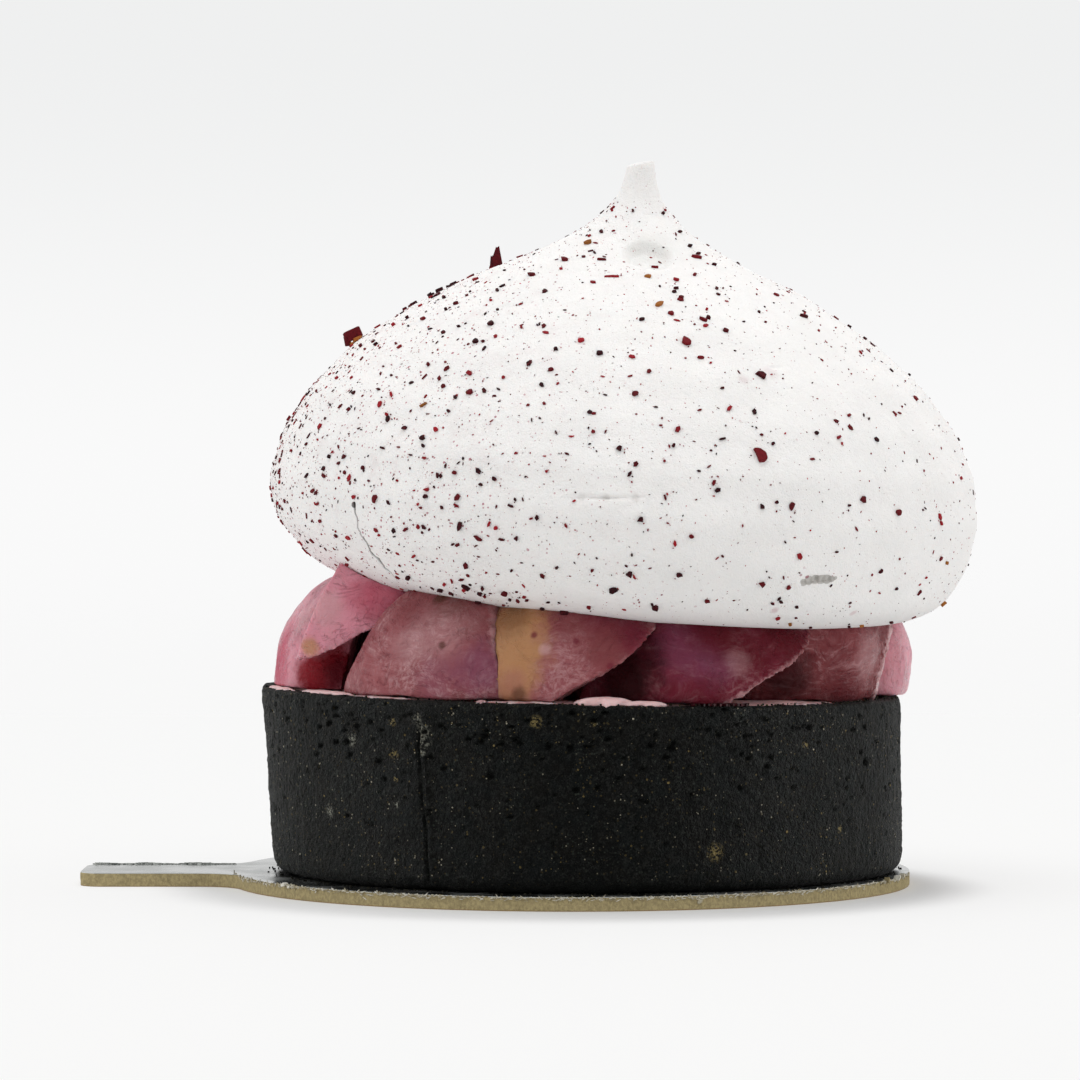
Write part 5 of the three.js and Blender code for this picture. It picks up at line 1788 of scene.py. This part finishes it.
class TART_OT_crumbs(bpy.types.Operator):
    """Lay dark wet crumbs on the rim, black crumbs on the card and torn fibres on its edge"""

    bl_idname = "tart.crumbs"
    bl_label = "Crumbs and fibres"

    def execute(self, context):
        scene = context.scene
        sizes, colours, scatter = scene.tart_sizes, scene.tart_colours, scene.tart_scatter
        rng = random.Random(scatter.seed + 10)
        chips = chip_templates(8, 5, 0, scatter.seed + 11)
        wet, dry, fibres, burr = (ChipHeap(chips, seed) for seed in (11, 12, 13, 14))
        for _ in range(scatter.wet_crumbs):
            place = on_rim(sizes, rng.triangular(*WET_CRUMBS), rng.uniform(0.2, 1.5) * MM)
            long = rng.uniform(*WET_LONG)
            turn = 90 + rng.uniform(-30, 30)
            wet.add(place, UP, turn, long, 0.35, 0.3, rng.random(), 0.3)
        for _ in range(scatter.rim_crumbs):
            place = on_rim(sizes, rng.uniform(-180, 180), rng.uniform(0.1, 2.4) * MM)
            long = rng.uniform(*RIM_LONG)
            dry.add(place, UP, rng.uniform(0, 180), long, 0.7 * long, 0.2, rng.random(), 0.1)
        for _ in range(scatter.card_crumbs):
            place = by_the_foot(rng.gauss(-90, 70), -rng.triangular(-0.6, 1.2, 0.3) * MM)
            long = rng.uniform(*CARD_LONG)
            dry.add(place, UP, rng.uniform(0, 180), long, 0.7 * long, 0.2, rng.random() * 0.3)
        for _ in range(scatter.fibres):
            place, out = on_card_edge(rng.uniform(*LOOSE_FIBRES), abs(rng.gauss(0, FIBRE_DROP)))
            long = rng.uniform(*FIBRE_LONG)
            fibres.add(place, out, rng.gauss(0, 28), long, 0.09, 0.12, rng.random(), 0.3)
        for _ in range(scatter.burr):
            x = rng.uniform(*TAB_BURR) * MM
            thick = rng.uniform(0.03, 0.34) * (0.5 + 0.5 * math.sin(x / (1.9 * MM)) ** 2)
            place = Vector((x, (TAB_BACK + rng.gauss(0, 0.12)) * MM, CARD_HIGH.z))
            long = rng.uniform(*BURR_LONG)
            turn = rng.gauss(0, 14)
            burr.add(place, UP, turn, long, 0.3, thick, rng.random() ** 0.6)
        for across, drop, long, wide, thick, tone in CARD_BITS:
            angle, _ = front_mark(CARD_HIGH.x, 0, across, 0)
            place, out = on_card_edge(math.degrees(angle), drop * MM)
            fibres.add(place, out, rng.uniform(0, 30), long, wide, thick, tone)
        for name, slot, heap, *look in (
            ("card_burr", "card", burr, "Foil burr", colours.burr_dark, colours.burr_bright, 0.45, 0.3),
            ("rim_crumbs", "fruit", wet, "Wet crumbs", colours.wet_dark, colours.wet_bright, 0.25, 0.4),
            ("crust_crumbs", "crust", dry, "Crust crumbs", colours.crumb_dark, colours.crumb_bright),
            ("card_fibres", "card", fibres, "Torn fibres", shade(colours.board, 0.8), colours.fibre, 0.9),
        ):
            piece(heap.build(name), slot, flake_material(*look))
        return {"FINISHED"}


# ---- Stage -------------------------------------------------------------------------------------------


# Area lights as (name, place in metres, width, height, power in watts).
LIT_PLACE = Vector((0, 0, 45 * MM))
TOP_LIGHT = ("Top light", (0, -0.1, 1.1), 0.9, 0.9, 4.6)
SIDE_LIGHTS = [
    ("Left light", (-0.95, -0.55, 0.5), 1.1, 0.9, 2.9),
    ("Right light", (0.95, -0.55, 0.5), 1.1, 0.9, 2.9),
]
EDGE_LIGHTS = [
    ("Left edge light", (-0.6, 0.12, 0.16), 0.35, 0.35, 2.6),
    ("Right edge light", (0.6, 0.12, 0.16), 0.35, 0.35, 2.6),
]
# Greys of the room: behind the tart at the table and higher up, to its sides, and behind the eye.
BACKDROP_LOW, BACKDROP_HIGH = (0.95, 0.95, 0.95), (0.865, 0.87, 0.87)
ROOM_BRIGHT, ROOM_DARK = (0.76,) * 3, (0.27,) * 3
FLOOR_REACH = 6  # metres
# The paper glows, as painted light that lifts the lamps' shadows, from this far to this far from the
# middle of the card's shadow.
SHADOW_MIDDLE = (0, -7 * MM, 0)
GLOW_FROM, GLOW_TO = 41 * MM, 51 * MM


def area_light(name, place, wide, tall, power):
    """A soft light that points at the tart."""
    light = bpy.data.lights.new(name, "AREA")
    light.energy = power
    light.shape = "RECTANGLE"
    light.size = wide
    light.size_y = tall
    obj = new_object(name, light)
    obj.location = place
    obj.rotation_euler = (LIT_PLACE - Vector(place)).to_track_quat("-Z", "Y").to_euler()
    return obj


class TART_OT_stage(bpy.types.Operator):
    """Set the pale floor, the soft lights and the camera"""

    bl_idname = "tart.stage"
    bl_label = "Stage"

    def execute(self, context):
        scene = context.scene
        self.floor(scene.tart_colours)
        self.world(scene)
        area_light(*TOP_LIGHT)
        for title, object_name, state, lights in (
            ("Not lit from the sides", "floor", "EXCLUDE", SIDE_LIGHTS),
            ("Raked by the edge lights", "crust", "INCLUDE", EDGE_LIGHTS),
        ):
            lit = bpy.data.collections.new(title)
            lit.objects.link(bpy.data.objects[object_name])
            lit.collection_objects[0].light_linking.link_state = state
            for light in lights:
                area_light(*light).light_linking.receiver_collection = lit
        self.camera(scene)
        scene.view_settings.view_transform = "Standard"
        return {"FINISHED"}

    @staticmethod
    def floor(colours):
        """Pale paper that fades into the backdrop far away."""
        bpy.ops.mesh.primitive_circle_add(vertices=96, radius=FLOOR_REACH, fill_type="NGON")
        floor = newest("floor")
        material, shader, bsdf = new_material("Pale floor")
        place = shader.metres()
        far = shader.vector_math("DISTANCE", place, (0, EYE.y, 0))["Value"]
        fade = shader.ramp(shader.math("DIVIDE", 1.0, far), 0.35, 1.6)
        # Away from the card the floor glows a little: painted light over darker paper, which lifts the
        # lamps' shadows.
        from_card = shader.vector_math("DISTANCE", place, SHADOW_MIDDLE)["Value"]
        lit = shader.ramp(from_card, GLOW_FROM, GLOW_TO)
        paper = shader.mix(lit, rgba(colours.floor_near), rgba(colours.floor_far))
        painted_floor_glow = shader.mix(lit, (0, 0, 0, 1), rgba(colours.painted_floor_glow))
        link_to(shader, bsdf, Alpha=fade, Base_Color=paper, Emission_Color=painted_floor_glow)
        set_inputs(bsdf, {"Roughness": 0.9, "Specular IOR Level": 0.1, "Emission Strength": 1.0})
        floor.data.materials.append(material)

    @staticmethod
    def world(scene):
        world = bpy.data.worlds.new("Studio")
        world.use_nodes = True
        shader = Shader(world.node_tree)
        towards = shader.add("ShaderNodeTexCoord").outputs["Generated"]
        axes = shader.add("ShaderNodeSeparateXYZ", {0: towards}).outputs
        level = shader.ramp(axes[2], 0.0, 0.09)
        backdrop = shader.mix(level, rgba(BACKDROP_LOW), rgba(BACKDROP_HIGH))
        # The room is darker where the photographer stands.
        room = shader.mix(shader.ramp(axes[1], -0.3, -0.9), rgba(ROOM_BRIGHT), rgba(ROOM_DARK))
        seen = shader.add("ShaderNodeLightPath").outputs["Is Camera Ray"]
        tint = shader.mix(seen, room, backdrop)
        shader.tree.links.new(tint, world.node_tree.nodes["Background"].inputs["Color"])
        scene.world = world

    @staticmethod
    def camera(scene):
        data = bpy.data.cameras.new("Camera")
        data.sensor_width = SENSOR
        data.lens = LENS
        data.clip_start = 0.01
        camera = new_object("Camera", data)
        camera.location = EYE
        camera.rotation_euler = (math.radians(90) - LOOKS_DOWN, 0, 0)
        scene.camera = camera


# ---- Panel and registration --------------------------------------------------------------------------

OPERATORS = (
    TART_OT_card, TART_OT_crust, TART_OT_cream, TART_OT_meringue, TART_OT_fruit, TART_OT_flakes,
    TART_OT_crumbs, TART_OT_stage,
)


class TART_PT_panel(bpy.types.Panel):
    """Lists the tart's pieces in the 3D view's sidebar"""

    bl_idname = "TART_PT_panel"
    bl_label = "Fruit Tart"
    bl_space_type = "VIEW_3D"
    bl_region_type = "UI"
    bl_category = "Tart"

    def draw(self, context):
        for operator in OPERATORS:
            self.layout.operator(operator.bl_idname)
        scene = context.scene
        for group in (scene.tart_sizes, scene.tart_scatter, scene.tart_colours):
            box = self.layout.box()
            for key in group.__annotations__:
                box.prop(group, key)


CLASSES = (TartSizes, TartScatter, TartColours, *OPERATORS, TART_PT_panel)


def register():
    for cls in CLASSES:
        bpy.utils.register_class(cls)
    bpy.types.Scene.tart_sizes = PointerProperty(type=TartSizes)
    bpy.types.Scene.tart_scatter = PointerProperty(type=TartScatter)
    bpy.types.Scene.tart_colours = PointerProperty(type=TartColours)


def unregister():
    del bpy.types.Scene.tart_colours
    del bpy.types.Scene.tart_scatter
    del bpy.types.Scene.tart_sizes
    for cls in reversed(CLASSES):
        bpy.utils.unregister_class(cls)


def main():
    register()
    for operator in OPERATORS:
        group, name = operator.bl_idname.split(".")
        getattr(getattr(bpy.ops, group), name)()


if __name__ == "__main__":
    main()
